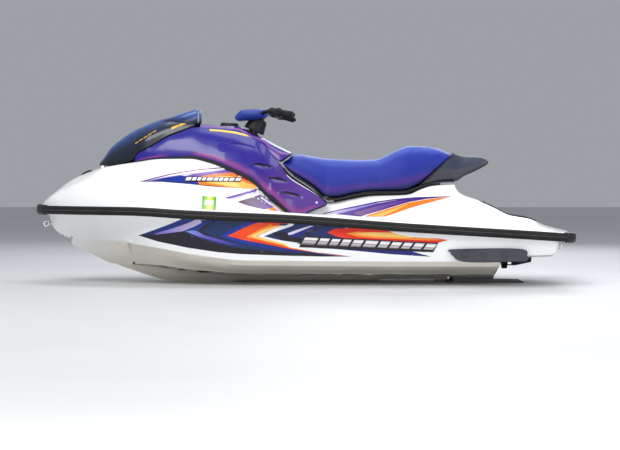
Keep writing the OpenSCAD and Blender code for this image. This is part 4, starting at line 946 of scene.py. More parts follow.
def stuffed(piece, voxel, cap, pressure=4.0, smooth=4):
    """Padding under a tight cover: the form is remeshed, swelled as cloth and smoothed."""
    m = piece.modifiers.new("voxels", "REMESH")
    m.mode, m.voxel_size, m.use_smooth_shade = "VOXEL", voxel * MM, True
    evaluated(piece)
    start = [v.co.copy() for v in piece.data.vertices]
    cloth = piece.modifiers.new("filling", "CLOTH")
    settings = cloth.settings
    settings.use_pressure, settings.uniform_pressure_force = True, pressure
    settings.effector_weights.gravity = 0
    settings.quality, settings.mass = 5, 0.3
    cloth.point_cache.frame_start, cloth.point_cache.frame_end = 1, 20
    for frame_number in range(1, 21):
        bpy.context.scene.frame_set(frame_number)
    evaluated(piece)
    bpy.context.scene.frame_set(1)
    for v, was in zip(piece.data.vertices, start):
        move = v.co - was
        if move.length > cap * MM:
            v.co = was + move * (cap * MM / move.length)
    bm = bmesh.new()
    bm.from_mesh(piece.data)
    for _ in range(smooth):
        bmesh.ops.smooth_vert(bm, verts=bm.verts, factor=0.5, use_axis_x=True, use_axis_y=True, use_axis_z=True)
    bm.to_mesh(piece.data)
    bm.free()
    piece.data.polygons.foreach_set("use_smooth", [True] * len(piece.data.polygons))


def seam_line(lift):
    """Where the seam meets the seat's outside, from the middle of the top out to the lower edge."""
    line = []
    for i in range(0, 29):
        low, high = 560.0, 900.0
        for _ in range(24):
            mid = (low + high) / 2
            if behind_seam((mid, seat_half(mid)[i][1])) > 0:
                high = mid
            else:
                low = mid
        y, z = seat_half(low)[i]
        line.append((low, y + lift * 0.7, z + (lift if i < 24 else 0)))
    return line


def seat():
    cushion = finished("seat_upholstery", seat_block(False, 5), VINYL_BLUE, "seat", 60,
                       replaces=["seat_cushion"])
    stuffed(cushion, 6, 7)
    # rise: height up the seat's side, which places the painted shade, the painted highlight band and the painted
    # highlight on the crest
    rise = cushion.data.attributes.new("rise", "FLOAT", "POINT")
    for v in cushion.data.vertices:
        low = along(SEAT_LOW_Z, v.co.x / MM) + 8
        rise.data[v.index].value = clamp((v.co.z / MM - low) / (along(SEAT_TOP_Z, v.co.x / MM) - low - 6))
    tail = finished("seat_tail_cover", seat_block(True, 3), [VINYL_DARK, CHARCOAL], "seat", 60,
                    replaces=["seat_tail"])
    bm = bmesh.new()   # the hand hold's slot through the tail
    bmesh.ops.create_cube(bm, size=1)
    for v in bm.verts:
        v.co = Vector((0.937, 0, 0.6055)) + Vector((v.co.x * 0.051, v.co.y * 0.142, v.co.z * 0.093))
    cutter = linked("hold", as_mesh("hold", bm))
    m = tail.modifiers.new("hold", "BOOLEAN")
    m.operation, m.object, m.solver = "DIFFERENCE", cutter, "EXACT"
    evaluated(tail)
    bpy.data.objects.remove(cutter)
    stuffed(tail, 5, 4, 2.5, 3)
    for f in tail.data.polygons:   # the underside and the flanks under the lip are moulded, not upholstered
        c = f.center / MM
        low, high = along(SEAT_LOW_Z, c.x), along(SEAT_TOP_Z, c.x)
        f.material_index = 1 if c.z < low + (high - low) * 0.42 else 0
    if len(tail.data.materials) < 2:
        tail.data.materials.append(CHARCOAL)
    xs = spread([-98, 145, 600], 14)
    low = [(x, along(SEAT_LOW_Y, x) - 1, along(SEAT_LOW_Z, x) + 11) for x in xs]
    beading("seat_piping", [low], 2.4, "seat")
    beading("seat_tail_piping", [seam_line(0.5)], 2.8, "seat")


# ---- graphics: thin vinyl shapes laid on the shells ----
PRINT_STEP = (24, 16)           # a print bends with its shell at cuts this far apart, along and up
PRINT_LIFT = (0.5, 0.2)         # how far the first layer stands off its shell, and each further one
STEEPEST = 0.09                 # a print ends where its shell turns this far away from the side
PEDESTAL_Y = 335                # the seat's pedestal lies inside this


def gloss(name, stops, direction=(1, 0, 0), start=0, end=1, rough=(0.16, 0.26)):
    """A printed vinyl whose colour runs along a direction."""
    f = Finish(name, 0.3, coat=0.12, coat_roughness=0.06, specular=0.3)
    ramp = f.ramp(f.slant(direction, start, end), stops, len(stops) > 2)
    f.color(f.mix(f.math("MULTIPLY", f.noise(14, 3), 0.08), ramp, (0.02, 0.02, 0.05)))
    return f.rough(f.noise(50, 3), *rough).material


# black print, also used for the painted shadow in the louvre slits
INK = gloss("print_black", [(0, (0.012, 0.010, 0.016)), (1, (0.016, 0.012, 0.022))])
NAVY = gloss("print_navy", [(0, (0.008, 0.020, 0.075)), (0.5, (0.008, 0.028, 0.105)), (1, (0.010, 0.026, 0.12))],
             (1, 0, 0), -860, 300)
BLUE = gloss("print_blue", [(0, (0.010, 0.020, 0.16)), (0.5, (0.009, 0.032, 0.30)), (1, (0.016, 0.018, 0.20))],
             (1, 0, 0.3), -760, 100)
PERIWINKLE = gloss("print_periwinkle", [(0, (0.22, 0.29, 0.72)), (0.45, (0.11, 0.07, 0.42)),
                                        (1, (0.022, 0.026, 0.26))], (1, 0, 0), -610, -300)
VIOLET = gloss("print_violet", [(0, (0.16, 0.09, 0.34)), (0.5, (0.085, 0.03, 0.27)), (1, (0.045, 0.015, 0.18))],
               (1, 0, 0), -400, 800)
PLUM = gloss("print_plum", [(0, (0.21, 0.11, 0.26)), (1, (0.11, 0.04, 0.30))], (1, 0, 0), 280, 560)
LILAC = gloss("print_lilac", [(0, (0.22, 0.16, 0.52)), (0.3, (0.60, 0.54, 0.76)), (0.75, (0.66, 0.62, 0.80)),
                              (1, (0.26, 0.22, 0.56))], (1, 0, 0), -780, 330)
WHITE_INK = gloss("print_white", [(0, (0.84, 0.84, 0.85)), (1, (0.88, 0.88, 0.88))])
CHROME = gloss("print_chrome", [(0, (0.16, 0.14, 0.15)), (0.35, (0.50, 0.47, 0.48)), (0.5, (0.30, 0.26, 0.28)),
                                (0.62, (0.86, 0.84, 0.84)), (1, (0.62, 0.58, 0.60))], (0.06, 0, 1), 226, 268)
ROSE = gloss("print_rose", [(0, (0.03, 0.010, 0.16)), (0.45, (0.24, 0.012, 0.13)), (1, (0.08, 0.012, 0.22))],
             (1, 0, 0), -860, -390)
FLAME = gloss("print_flame", [(0, (0.78, 0.05, 0.008)), (0.6, (0.86, 0.07, 0.008)), (1, (0.70, 0.02, 0.008))],
              (0.22, 0, 1), 130, 350)
ORANGE = gloss("print_orange", [(0, (0.92, 0.36, 0.05)), (1, (0.90, 0.20, 0.02))], (0.1, 0, 1), 160, 420)
YELLOW = gloss("print_yellow", [(0, (0.96, 0.66, 0.20)), (1, (0.94, 0.48, 0.09))], (0.1, 0, 1), 160, 500)
ASH = gloss("print_ash", [(0, (0.16, 0.10, 0.10)), (0.45, (0.15, 0.09, 0.19)), (1, (0.17, 0.085, 0.33))],
            (1, 0, -0.5), -560, -350)
LEAF = gloss("print_leaf", [(0, (0.03, 0.34, 0.03)), (0.3, (0.30, 0.55, 0.06)), (0.5, (0.85, 0.85, 0.20)),
                            (0.7, (0.45, 0.62, 0.08)), (1, (0.03, 0.30, 0.03))], (1, 0, 0), -519, -446)
AMBER = gloss("print_amber", [(0, (0.80, 0.42, 0.05)), (1, (0.72, 0.55, 0.10))], (1, 0, 0), -900, -50)

# Each shape: its finish, its layer, and its outline as [place along the craft, height].
SIDE_SHAPES = (
    (NAVY, 0, [(-868, 266), (-782, 296), (-695, 328), (-611, 363), (-606, 364), (-452, 356), (-300, 350), (-110, 341),
         (50, 331), (228, 318), (236, 308), (293, 265), (339, 225), (453, 211), (566, 191), (686, 158), (481, 171),
         (305, 188), (168, 200), (14, 207), (-37, 218), (-60, 203), (111, 180), (265, 159), (111, 159), (-60, 164),
         (-7, 161), (-316, 172), (-435, 181), (-598, 204), (-761, 236)]),
    (INK, 1, [(-860, 264), (-793, 266), (-695, 279), (-619, 287), (-576, 268), (-511, 244), (-424, 221), (-337, 204),
         (-207, 192), (-99, 182), (-7, 174), (8, 180), (111, 167), (236, 159), (111, 159), (-60, 164), (-7, 161),
         (-316, 172), (-435, 181), (-598, 204), (-761, 236)]),
    (BLUE, 1, [(-826, 273), (-750, 307), (-630, 353), (-554, 358), (-598, 339), (-679, 307), (-761, 281)]),
    (LILAC, 2, [(-777, 277), (-679, 306), (-598, 334), (-533, 361), (-478, 361), (-554, 320), (-619, 293),
         (-695, 282), (-771, 273)]),
    (BLUE, 2, [(-614, 292), (-554, 319), (-475, 361), (-430, 360), (-511, 323), (-546, 293), (-571, 285)]),
    (PERIWINKLE, 3, [(-608, 291), (-571, 296), (-546, 293), (-511, 273), (-446, 255), (-370, 233), (-283, 213),
         (-370, 219), (-446, 237), (-533, 262)]),
    (INK, 3, [(-440, 360), (-413, 358), (-478, 326), (-527, 293), (-478, 270), (-397, 254), (-326, 236), (-408, 251),
         (-500, 271), (-546, 293), (-506, 325)]),
    (BLUE, 2, [(-283, 342), (-229, 342), (-310, 304), (-381, 266), (-283, 243), (-153, 215), (-7, 190), (-7, 181),
         (-180, 203), (-316, 231), (-424, 263), (-370, 301)]),
    (FLAME, 4, [(-234, 339), (-164, 339), (-66, 337), (-99, 326), (-180, 296), (-245, 268), (-180, 250), (-88, 225),
         (-7, 206), (26, 196), (111, 177), (265, 159), (179, 166), (82, 179), (-3, 192), (-60, 200), (-153, 219),
         (-288, 244), (-386, 268), (-316, 302)]),
    (ORANGE, 5, [(-153, 333), (-61, 335), (-99, 326), (-180, 296), (-245, 268), (-180, 250), (-88, 225), (-7, 206),
         (26, 196), (111, 177), (213, 163), (82, 181), (-3, 196), (-60, 204), (-99, 219), (-185, 239), (-288, 263),
         (-218, 300)]),
    (YELLOW, 6, [(-109, 330), (-55, 335), (-88, 326), (-172, 295), (-234, 268), (-175, 251), (-82, 228), (-7, 210),
         (26, 198), (111, 179), (185, 167), (82, 182), (-3, 198), (-60, 208), (-93, 223), (-185, 244), (-264, 267),
         (-196, 300)]),
    (WHITE_INK, 7, [(-77, 333), (-33, 335), (-44, 321), (-120, 296), (-194, 266), (-99, 244), (-7, 231), (-26, 230),
         (14, 222), (111, 200), (14, 204), (111, 179), (202, 164), (82, 182), (-3, 198), (-60, 209), (-82, 228),
         (-175, 251), (-229, 268), (-164, 297)]),
    (LILAC, 5, [(-68, 283), (-26, 299), (54, 324), (72, 323), (3, 296), (-43, 277), (-66, 273)]),
    (BLUE, 4, [(-60, 271), (-26, 281), (77, 322), (111, 321), (48, 298), (14, 281), (-26, 265), (-54, 259)]),
    (INK, 5, [(105, 321), (128, 320), (65, 296), (34, 281), (63, 265), (88, 259), (43, 265), (14, 281), (48, 298)]),
    (INK, 4, [(-88, 289), (-26, 259), (14, 256), (14, 222), (-37, 231), (-88, 247), (-123, 259), (-151, 281)]),
    (FLAME, 6, [(139, 285), (159, 298), (191, 313), (259, 311), (373, 304), (453, 296), (532, 281), (652, 265),
         (773, 247), (726, 234), (680, 222), (510, 228), (413, 237), (327, 245), (259, 248), (191, 265)]),
    (ORANGE, 7, [(236, 281), (293, 291), (373, 295), (453, 290), (532, 279), (623, 264), (726, 250), (760, 246),
         (669, 245), (566, 249), (487, 253), (396, 256), (305, 264)]),
    (YELLOW, 8, [(282, 281), (373, 288), (453, 286), (532, 277), (612, 264), (566, 258), (487, 262), (396, 266),
         (327, 273)]),
    (WHITE_INK, 9, [(453, 295), (510, 288), (578, 278), (680, 264), (737, 255), (669, 257), (578, 264), (521, 275)]),
    (BLUE, 1, [(259, 204), (453, 204), (566, 188), (675, 162), (578, 171), (453, 182), (339, 191)]),
)
BOW_SHAPES = (
    (ROSE, 0, [(-858, 553), (-793, 571), (-685, 597), (-576, 615), (-478, 626), (-397, 632), (-386, 627), (-478, 620),
         (-576, 610), (-685, 591), (-793, 565), (-837, 553)]),
    (LILAC, 1, [(-826, 556), (-750, 572), (-663, 587), (-565, 602), (-478, 613), (-397, 623), (-397, 618),
         (-478, 606), (-565, 595), (-641, 586), (-723, 573), (-804, 555)]),
    (BLUE, 0, [(-804, 555), (-728, 572), (-641, 586), (-603, 584), (-554, 565), (-533, 539), (-587, 542),
         (-739, 554)]),
    (VIOLET, 1, [(-625, 581), (-565, 595), (-478, 606), (-397, 617), (-354, 607), (-370, 600), (-446, 595),
         (-522, 581), (-565, 567), (-603, 575)]),
    (ORANGE, 2, [(-565, 567), (-522, 582), (-446, 595), (-370, 601), (-316, 587), (-261, 560), (-207, 514),
         (-261, 515), (-343, 518), (-446, 526), (-533, 538)]),
    (YELLOW, 3, [(-511, 565), (-446, 579), (-381, 582), (-337, 572), (-310, 552), (-229, 526), (-212, 514),
         (-267, 516), (-354, 523), (-430, 536), (-500, 548)]),
    (FLAME, 4, [(-375, 599), (-354, 604), (-310, 587), (-261, 557), (-283, 553), (-305, 565), (-337, 582)]),
    (INK, 5, [(-413, 616), (-397, 620), (-351, 605), (-370, 605)]),
    (INK, 4, [(-858, 553), (-815, 555), (-739, 555), (-587, 543), (-489, 533), (-397, 524), (-397, 522), (-489, 529),
         (-587, 540), (-739, 552)]),
    (VIOLET, 0, [(-402, 468), (-326, 489), (-240, 515), (-207, 512), (-218, 505), (-316, 477), (-370, 461)]),
    (LILAC, 1, [(-370, 457), (-381, 463), (-316, 479), (-215, 510), (-198, 496), (-283, 477), (-337, 462)]),
    (INK, 2, [(-240, 513), (-226, 516), (-204, 501), (-212, 501)]),
    (ASH, 1, [(-336, 447), (-283, 463), (-199, 489), (-169, 475), (-131, 429), (-158, 413), (-191, 407), (-234, 415),
         (-288, 429)]),
    (ORANGE, 2, [(-174, 408), (-153, 416), (-104, 429), (-71, 397), (-153, 400)]),
    (LEAF, 1, [(-519, 477), (-446, 473), (-447, 403), (-522, 408)]),
    (WHITE_INK, 2, [(-504, 457), (-459, 453), (-461, 429), (-506, 432)]),
)
AFT_SHAPES = (
    (VIOLET, 0, [(112, 380), (236, 411), (400, 444), (511, 460), (616, 469), (819, 474), (747, 470), (616, 465),
         (511, 454), (400, 436), (249, 405), (125, 378)]),
    (LILAC, 0, [(138, 377), (249, 405), (400, 436), (459, 441), (419, 430), (289, 403), (197, 380)]),
    (VIOLET, 1, [(187, 377), (289, 402), (419, 436), (550, 460), (681, 470), (819, 473), (681, 460), (583, 443),
         (485, 414), (419, 394), (354, 376), (321, 365)]),
    (PLUM, 2, [(282, 384), (419, 424), (524, 447), (583, 453), (485, 422), (393, 389), (328, 367)]),
    (ORANGE, 2, [(341, 365), (419, 390), (485, 411), (583, 440), (681, 457), (812, 471), (747, 454), (675, 435),
         (583, 409), (505, 382), (452, 365)]),
    (YELLOW, 3, [(367, 367), (433, 386), (498, 407), (583, 432), (537, 411), (478, 384), (439, 366)]),
)


def plain_bars(start, end, height, shade, widths, slant, layer):
    """A row of plain slanted bars, where a name would be: pale faces over a dark outline."""
    shapes, at = [], 0.0
    gap = max(widths) * 0.16
    total = sum(widths) + len(widths) * gap
    for wide in widths:
        a, b = at / total, (at + wide) / total
        (x0, z0), (x1, z1) = lerp(start, end, a), lerp(start, end, b)
        high, low = height[0] + (height[1] - height[0]) * a, height[0] + (height[1] - height[0]) * b
        edge = height[0] * 0.12
        shapes.append((INK, layer, [(x0 - slant - edge, z0 - high - edge), (x0 - edge, z0 + edge),
                                    (x1 + edge, z1 + edge), (x1 - slant + edge, z1 - low - edge)]))
        shapes.append((shade, layer + 1, [(x0 - slant * 0.8, z0 - high * 0.8), (x0 + 1, z0 - 1), (x1 - 1, z1 - 1),
                                          (x1 - slant * 0.8 - 2, z1 - low * 0.8)]))
        at += wide + gap
    return shapes


def graphics(hull, deck, covers, hood_panel):
    """Projects each outline from the side onto its shell, on both sides of the craft."""
    graph = bpy.context.evaluated_depsgraph_get()
    pedestal = bmesh.new()
    pedestal.from_object(deck, graph)
    outside = [f for f in pedestal.faces if abs(f.calc_center_median().y) > PEDESTAL_Y * MM]
    bmesh.ops.delete(pedestal, geom=outside, context="FACES")
    inner = BVHTree.FromBMesh(pedestal)
    pedestal.free()
    panels = bmesh.new()
    for panel in covers:
        panels.from_object(panel, graph)
    cover = BVHTree.FromBMesh(panels)
    panels.free()
    shells = BVHTree.FromObject(hull, graph), BVHTree.FromObject(deck, graph)
    lid = BVHTree.FromObject(hood_panel, graph)

    def onto(tree, side, x, z):
        hit, normal, _, _ = tree.ray_cast(Vector((x, side * 2, z)), Vector((0, -side, 0)))
        return None if hit is None or normal.y * side < STEEPEST or hit.y * side < 0 else (hit, normal)

    def grid(values, step):
        return range(int(min(values)) // step * step, int(max(values)) + step, step)

    cowl_shapes = (
        (AMBER, 0, [(-496, 838), (-440, 835), (-360, 825), (-268, 804), (-268, 793), (-360, 813), (-440, 824),
                    (-496, 827)]),
        (AMBER, 0, [(-127, 694), (-46, 694), (-46, 678), (-127, 676)]),
    )
    # painted shadow: a dark crescent under the top edge of each louvre
    slit_shadows = []
    for (x0, z0), (x1, z1), _, _, bow in LOUVRES[:3]:
        ts = [i / 10 for i in range(11)]
        edge = [(x0 + (x1 - x0) * t, z0 + (z1 - z0) * t + bow * 4 * t * (1 - t)) for t in ts]
        thin = [(x, z - 9 * math.sin(math.pi * t) ** 0.7) for (x, z), t in zip(edge, ts)]
        slit_shadows.append((INK, 0, [(x, z + 2.5) for x, z in edge[1:-1]] + thin[1:-1][::-1]))
    lid_shapes = (
        [(AMBER, 0, [(x, z), (x + 18, z + 11), (x + 18, z + 16), (x, z + 5)])
         for x, z in ((-902 + 24 * i, 757 + 15 * i) for i in range(5))]
        + [(AMBER, 0, [(-703, 836), (-618, 868), (-618, 880), (-703, 848)])])
    made = {}
    name_bars = plain_bars((22, 262), (728, 226), (48, 38), CHROME,
                           (62, 44, 40, 40, 46, 58, 44, 44, 40, 44, 46), 26, 9)
    deck_bars = plain_bars((-606, 577), (-312, 571), (22, 18), WHITE_INK,
                           (20, 16, 14, 14, 22, 16, 14, 16, 18, 20), 9, 6)
    for tree, shapes, body in ((shells[0], SIDE_SHAPES + tuple(name_bars), "craft"),
                               (shells[1], BOW_SHAPES + tuple(deck_bars), "craft"), (inner, AFT_SHAPES, "craft"),
                               (cover, cowl_shapes + tuple(slit_shadows), "craft"), (lid, lid_shapes, "hood")):
        for ink, layer, outline in shapes:
            for side in (-1, 1):
                bm = bmesh.new()
                bm.faces.new([bm.verts.new((x * MM, 0, z * MM)) for x, z in outline])
                xs, zs = zip(*outline)
                cuts = [((x * MM, 0, 0), (1, 0, 0)) for x in grid(xs, PRINT_STEP[0])]
                cuts += [((0, 0, z * MM), (0, 0, 1)) for z in grid(zs, PRINT_STEP[1])]
                for place, normal in cuts:
                    bmesh.ops.bisect_plane(bm, geom=whole(bm), plane_co=place, plane_no=normal)
                found = {v: onto(tree, side, v.co.x, v.co.z) for v in bm.verts}
                lost = []
                for v in (v for v in bm.verts if found[v] is None):   # drawn back to where its shell ends
                    kept = [w for w in (e.other_vert(v) for e in v.link_edges) if found.get(w) and w.tag is False]
                    if not kept:
                        lost.append(v)
                        continue
                    w = min(kept, key=lambda w: (w.co - v.co).length)
                    near, far, last = 0.0, 1.0, None
                    for _ in range(9):
                        t = (near + far) / 2
                        at = w.co.lerp(v.co, t)
                        spot = onto(tree, side, at.x, at.z)
                        near, far, last = (t, far, spot) if spot else (near, t, last)
                    found[v], v.tag = last or found[w], True
                for v, spot in found.items():
                    if spot:
                        v.co = spot[0] + spot[1] * (PRINT_LIFT[0] + PRINT_LIFT[1] * layer) * MM
                bmesh.ops.delete(bm, geom=lost, context="VERTS")
                bmesh.ops.triangulate(bm, faces=bm.faces)
                bm.normal_update()
                bmesh.ops.reverse_faces(bm, faces=[f for f in bm.faces if f.normal.y * side < 0])
                part = as_mesh("part", bm)
                if (ink, body) not in made:
                    made[ink, body] = bmesh.new()
                made[ink, body].from_mesh(part)
                bpy.data.meshes.remove(part)
    for (ink, body), bm in made.items():
        name = ink.name.replace("print_", "graphic_") + ("_hood" if body == "hood" else "")
        placed(name, bm, ink, body)


# ---- metals, plastics and mats ----
def metal(name, base, rough=(0.25, 0.4), metallic=1.0, brushed=(1, 1, 1), depth=0.06, scale=200):
    f = Finish(name, 0.3, metallic=metallic)
    f.color(tinted(f, base, 0.08, 10))
    f.rough(f.noise(scale * 0.4, 4, brushed), *rough)
    return f.relief(f.noise(scale, 3, brushed), depth, 0.5).material


STEEL = metal("steel_polished", (0.60, 0.61, 0.62), (0.12, 0.24), brushed=(0.2, 1, 1))
CAST = metal("metal_cast", (0.17, 0.175, 0.185), (0.42, 0.6), 0.85, depth=0.3, scale=160)
CAST_DARK = metal("metal_cast_dark", (0.035, 0.036, 0.04), (0.45, 0.62), 0.5, depth=0.3, scale=160)
COATED = metal("coat_black", (0.012, 0.012, 0.013), (0.32, 0.46), 0.2, depth=0.12, scale=500)
SILVER = metal("glass_silvered", (0.86, 0.87, 0.89), (0.02, 0.05), depth=0.0)
ENGINE = metal("paint_engine", (0.06, 0.06, 0.065), (0.4, 0.55), 0.4, depth=0.3, scale=120)
MAT = rubber("mat_foam", (0.045, 0.05, 0.062), 0.7, 0.9)
GRIP = rubber("rubber_grip", (0.014, 0.013, 0.014), 0.55, 0.75)
LENS = solid("lens_smoked", (0.012, 0.014, 0.02), (0.05, 0.1), 0.8)
PAD = vinyl("vinyl_pad", (0.022, 0.045, 0.24), (0.032, 0.075, 0.34), bounds=(0.36, 0.5))
NODE_FINISHES = {
    "storage_bin": BLACK_PLASTIC, "steering_bearing": BLACK_PLASTIC, "instrument_display": BLACK_PLASTIC,
    "hatch_gasket": RUBBER, "engine_block": ENGINE, "engine_mounts": RUBBER, "fuel_cap": BLACK_PLASTIC,
    "pilot_outlet": BLACK_PLASTIC, "bow_eye": STEEL, "stern_eyes": STEEL, "drain_plugs": BLACK_PLASTIC,
    "ride_plate": CAST_DARK, "intake_grate": CAST_DARK, "pump_housing": CAST, "stator": CAST, "pump_nozzle": CAST,
    "drive_shaft": STEEL, "impeller": STEEL, "trim_ring": CAST_DARK, "steering_nozzle": CAST_DARK,
    "mirror_glasses": SILVER, "hood_hinge": STEEL, "seat_base": BLACK_PLASTIC, "steering_column": COATED,
    "handlebar": COATED, "switch_housing": BLACK_PLASTIC, "throttle_housing": BLACK_PLASTIC,
    "throttle_lever": BLACK_PLASTIC, "grips": GRIP, "bar_pad": PAD, "rear_deck_mat": MAT, "sponson_port": CHARCOAL,
    "sponson_starboard": CHARCOAL, "footwell_mat_port": MAT, "footwell_mat_starboard": MAT,
}


def node_finishes():
    for node, finish in NODE_FINISHES.items():
        mesh = NODES[node].data
        mesh.materials.clear()
        mesh.materials.append(finish)


def ribbed_mats():
    """Foot mats with raised ribs that run fore and aft, and a ribbed pad on the stern."""
    def rib_row(name, x0, x1, y0, y1, ribs, replaces, mirrored):
        bm = bmesh.new()
        pitch = (y1 - y0) / ribs
        section = []
        for i in range(ribs):
            y = y0 + i * pitch
            section += [(y, 6), (y + pitch * 0.12, 9.4), (y + pitch * 0.62, 9.4), (y + pitch * 0.74, 6)]
        section.append((y1, 6))
        loop = [(y0, 0.6)] + section + [(y1, 0.6)]
        rings = [[(x * MM, y * MM, (across(deck_half(x), abs(y)) + z) * MM) for y, z in loop]
                 for x in spread([x0, x1], 16)]
        skin(bm, rings, closed=True, cap=(0, -1))
        if mirrored:
            both(bm, 1e-7)
        return finished(name, bm, MAT, "craft", 30, replaces=replaces)

    rib_row("foot_mats_ribbed", 24, 896, 342, 448, 9, ["footwell_mat_port", "footwell_mat_starboard"], True)
    rib_row("stern_mat_ribbed", 992, 1278, -176, 176, 26, ["rear_deck_mat"], False)


def bar_at(y):
    a, b = (-168, 180, 938), (-40, 390, 908)
    return Vector(lerp(a, b, (y - a[1]) / (b[1] - a[1])))


def grips_and_controls():
    start, end = bar_at(255), bar_at(394)
    axis = (end - start).normalized()
    u = axis.cross(Vector((0, 0, 1))).normalized()
    for side in (1, -1):
        bm = bmesh.new()
        profile = [(0, 11.2), (0, 23), (1.5, 24), (4, 24), (5.5, 22.5), (6.5, 17)]
        for i in range(30):
            profile += [(8 + i * 4, 17.0), (9.2 + i * 4, 15.9), (10.8 + i * 4, 15.9), (11.6 + i * 4, 17.0)]
        profile += [(129, 17.2), (134, 18), (137.5, 17), (139, 14), (139.2, 6), (138.4, 5), (138.2, 0.4)]
        rings = [[(p.x * MM, side * p.y * MM, p.z * MM) for p in circle(start + axis * t, u, axis.cross(u), r, 24)]
                 for t, r in profile]
        skin(bm, rings, closed=True, cap=(-1,))
        finished("grip_ribbed_" + ("starboard" if side > 0 else "port"), bm, GRIP, "handlebar_assembly",
                 60, replaces=["grips"])
    bm = bmesh.new()
    for x, y, z, r in ((-205, 60, 927, 23), (-235, 80, 927, 22), (-322, 60, 929, 20), (-350, 46, 906, 17)):
        for s in (-1, 1):
            made = bmesh.ops.create_uvsphere(bm, u_segments=20, v_segments=12, radius=r * MM)["verts"]
            bmesh.ops.translate(bm, verts=made, vec=Vector((x, s * y, z)) * MM)
    hull = bmesh.ops.convex_hull(bm, input=bm.verts)
    spare = only(bmesh.types.BMVert, hull["geom_interior"] + hull["geom_unused"])
    bmesh.ops.delete(bm, geom=list(set(spare)), context="VERTS")
    pad = finished("bar_pad_padding", bm, PAD, "handlebar_assembly", 60, replaces=["bar_pad"])
    stuffed(pad, 5, 3, 3.0, 4)
    bm = bmesh.new()
    profile = [(-70, 27), (-73.5, 50), (-74, 57), (-70, 58.5), (-60, 57), (-40, 53), (-15, 49), (-2, 45), (3, 38),
               (4, 27)]
    skin(bm, [[q * MM for q in circle(COLUMN_TOP + COLUMN * t, COLUMN_FORE, ASIDE, r, 40)] for t, r in profile],
         closed=True)
    boot = finished("column_boot", bm, BLACK_TRIM_AND_SHADE, "handlebar_assembly", 60)
    thicken(boot, 2)


def sponsons():
    """A moulding over each sponson, its face drawn in over two steps, held with three sunk bolts."""
    bm = bmesh.new()
    outline = [(787, 178), (800, 198), (1150, 200), (1192, 162), (1190, 137), (1150, 132), (865, 131), (797, 165)]
    rings = []
    for out, grow in ((-6, 0), (20, 0), (27, -2), (30, -7)):
        ring = []
        cx, cz = 990, 165   # the sponson's middle
        for x, z in flowing(outline + outline[:1], 64)[:-1]:
            px, pz = cx + (x - cx) * (1 + grow / 400), cz + (z - cz) * (1 + grow / 60)
            ring.append((px * MM, (along(TOPSIDE_Y, px) - 10 + out * min(1, (px - 770) / 90)) * MM, pz * MM))
        rings.append(ring)
    skin(bm, rings, closed=True, cap=(0, -1))
    for x in (857, 962, 1070):
        for n, r, tip, deep, out in ((6, 8, 7, 7, 21), (28, 15, 13.5, 3, 20.5)):   # the bolt, then its washer
            made = bmesh.ops.create_cone(bm, cap_ends=True, segments=n, radius1=r * MM, radius2=tip * MM,
                                         depth=deep * MM)
            for v in made["verts"]:
                v.co = Vector((x * MM + v.co.x, (along(TOPSIDE_Y, x) + out) * MM + v.co.z, 171 * MM + v.co.y))
    both(bm, 1e-7)
    finished("sponson_mouldings", bm, CHARCOAL, "craft", 32,
             replaces=["sponson_port", "sponson_starboard"])


def instruments():
    """A hooded display on the console: bezel, smoked lens and a ring of plain marks."""
    centre = Vector((-398, 0, along(CONSOLE_Z, -398)))
    lean = math.radians(4)
    fore, up = Vector((math.cos(lean), 0, -math.sin(lean))), Vector((math.sin(lean), 0, math.cos(lean)))
    bm = bmesh.new()

    def lathe(profile):
        rings = [[q * MM for q in circle(centre + up * h, fore, ASIDE, r, 48)] for r, h in profile]
        skin(bm, rings, closed=True, cap=(0, -1))

    lathe([(50, -6), (50, 11), (48, 16), (45, 18), (42.5, 17), (41.5, 14)])
    finished("display_bezel", bm, BLACK_PLASTIC, "craft", 40, replaces=["instrument_display"])
    bm = bmesh.new()
    lathe([(41.3, 12), (41.3, 14.4), (34, 15.4), (18, 16.3), (4, 16.6)])
    finished("display_lens", bm, LENS, "craft", 60)
    bm = bmesh.new()
    for k in range(-9, 10):
        a = math.radians(k * 14)
        d = fore * math.cos(a) + ASIDE * math.sin(a)
        long = 6 if k % 3 == 0 else 3
        tube(bm, [centre + d * (33 - long) + up * 15.6, centre + d * 33 + up * 15.2], 0.7, 6)
    finished("display_marks", bm, WHITE_INK, "craft", 60)


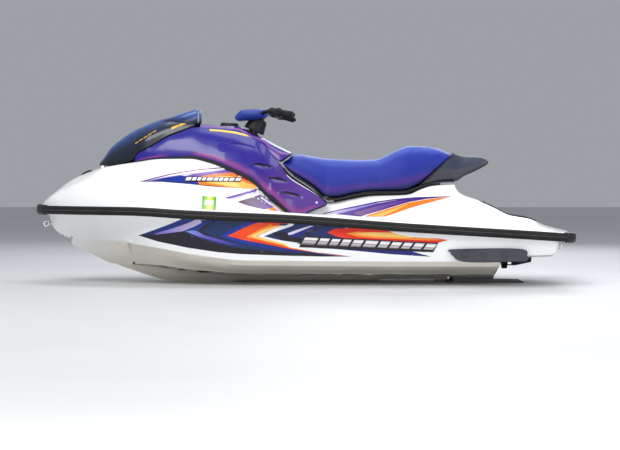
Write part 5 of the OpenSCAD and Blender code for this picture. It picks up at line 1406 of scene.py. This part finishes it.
# ---- studio ----
def studio():
    camera = linked("camera", bpy.data.cameras.new("camera"))
    bpy.context.scene.camera = camera
    camera.data.sensor_width = 36
    camera.data.lens = 104.8
    eye, aim = Vector((0.048, -10.0, 0.55)), Vector((0.048, 0, 0.313))
    camera.location = eye
    camera.rotation_euler = (aim - eye).to_track_quat("-Z", "Y").to_euler()
    bm = bmesh.new()
    bmesh.ops.create_grid(bm, x_segments=1, y_segments=1, size=30)
    floor = linked("studio_floor", as_mesh("studio_floor", bm))
    f = Finish("floor_pale", 0.5)
    f.color(f.ramp(f.noise(0.8, 3), [(0.3, (0.56, 0.57, 0.58)), (0.7, (0.60, 0.61, 0.62))]))
    floor.data.materials.append(f.material)
    floor.location.z = -0.3 * MM
    for name, place, size, power, tint in (
            ("key", (-2.2, -4.8, 5.2), (4.5, 2.5), 300, (1, 0.985, 0.96)),
            ("fill", (4.5, -3.5, 2.6), (3, 2.4), 95, (0.93, 0.96, 1)),
            ("low", (0.0, -7.0, 0.55), (7, 1.0), 120, (1, 1, 1)),
            ("top", (0.2, 0.6, 5.0), (5, 3), 150, (1, 1, 1)),
            ("back", (1.5, 5.0, 3.0), (4, 2), 110, (0.95, 0.97, 1))):
        lamp = bpy.data.lights.new(name, "AREA")
        lamp.shape, lamp.size, lamp.size_y, lamp.energy, lamp.color = "RECTANGLE", size[0], size[1], power, tint
        light = linked(name, lamp)
        light.location = place
        light.rotation_euler = (Vector((0, 0, 0.4)) - Vector(place)).to_track_quat("-Z", "Y").to_euler()
    world = bpy.data.worlds.new("studio")
    world.use_nodes = True
    sky = world.node_tree.nodes["Background"].inputs
    sky["Color"].default_value = (0.80, 0.84, 0.90, 1)
    sky["Strength"].default_value = 0.42
    bpy.context.scene.world = world
    bpy.context.scene.view_settings.view_transform = "Standard"


studio()
hull = hull_shell()
deck = deck_shell()
rails()
cover_panels = cowl()
console()
hood_panel = hood()
seat()
node_finishes()
ribbed_mats()
grips_and_controls()
sponsons()
instruments()
graphics(hull, deck, cover_panels, hood_panel)
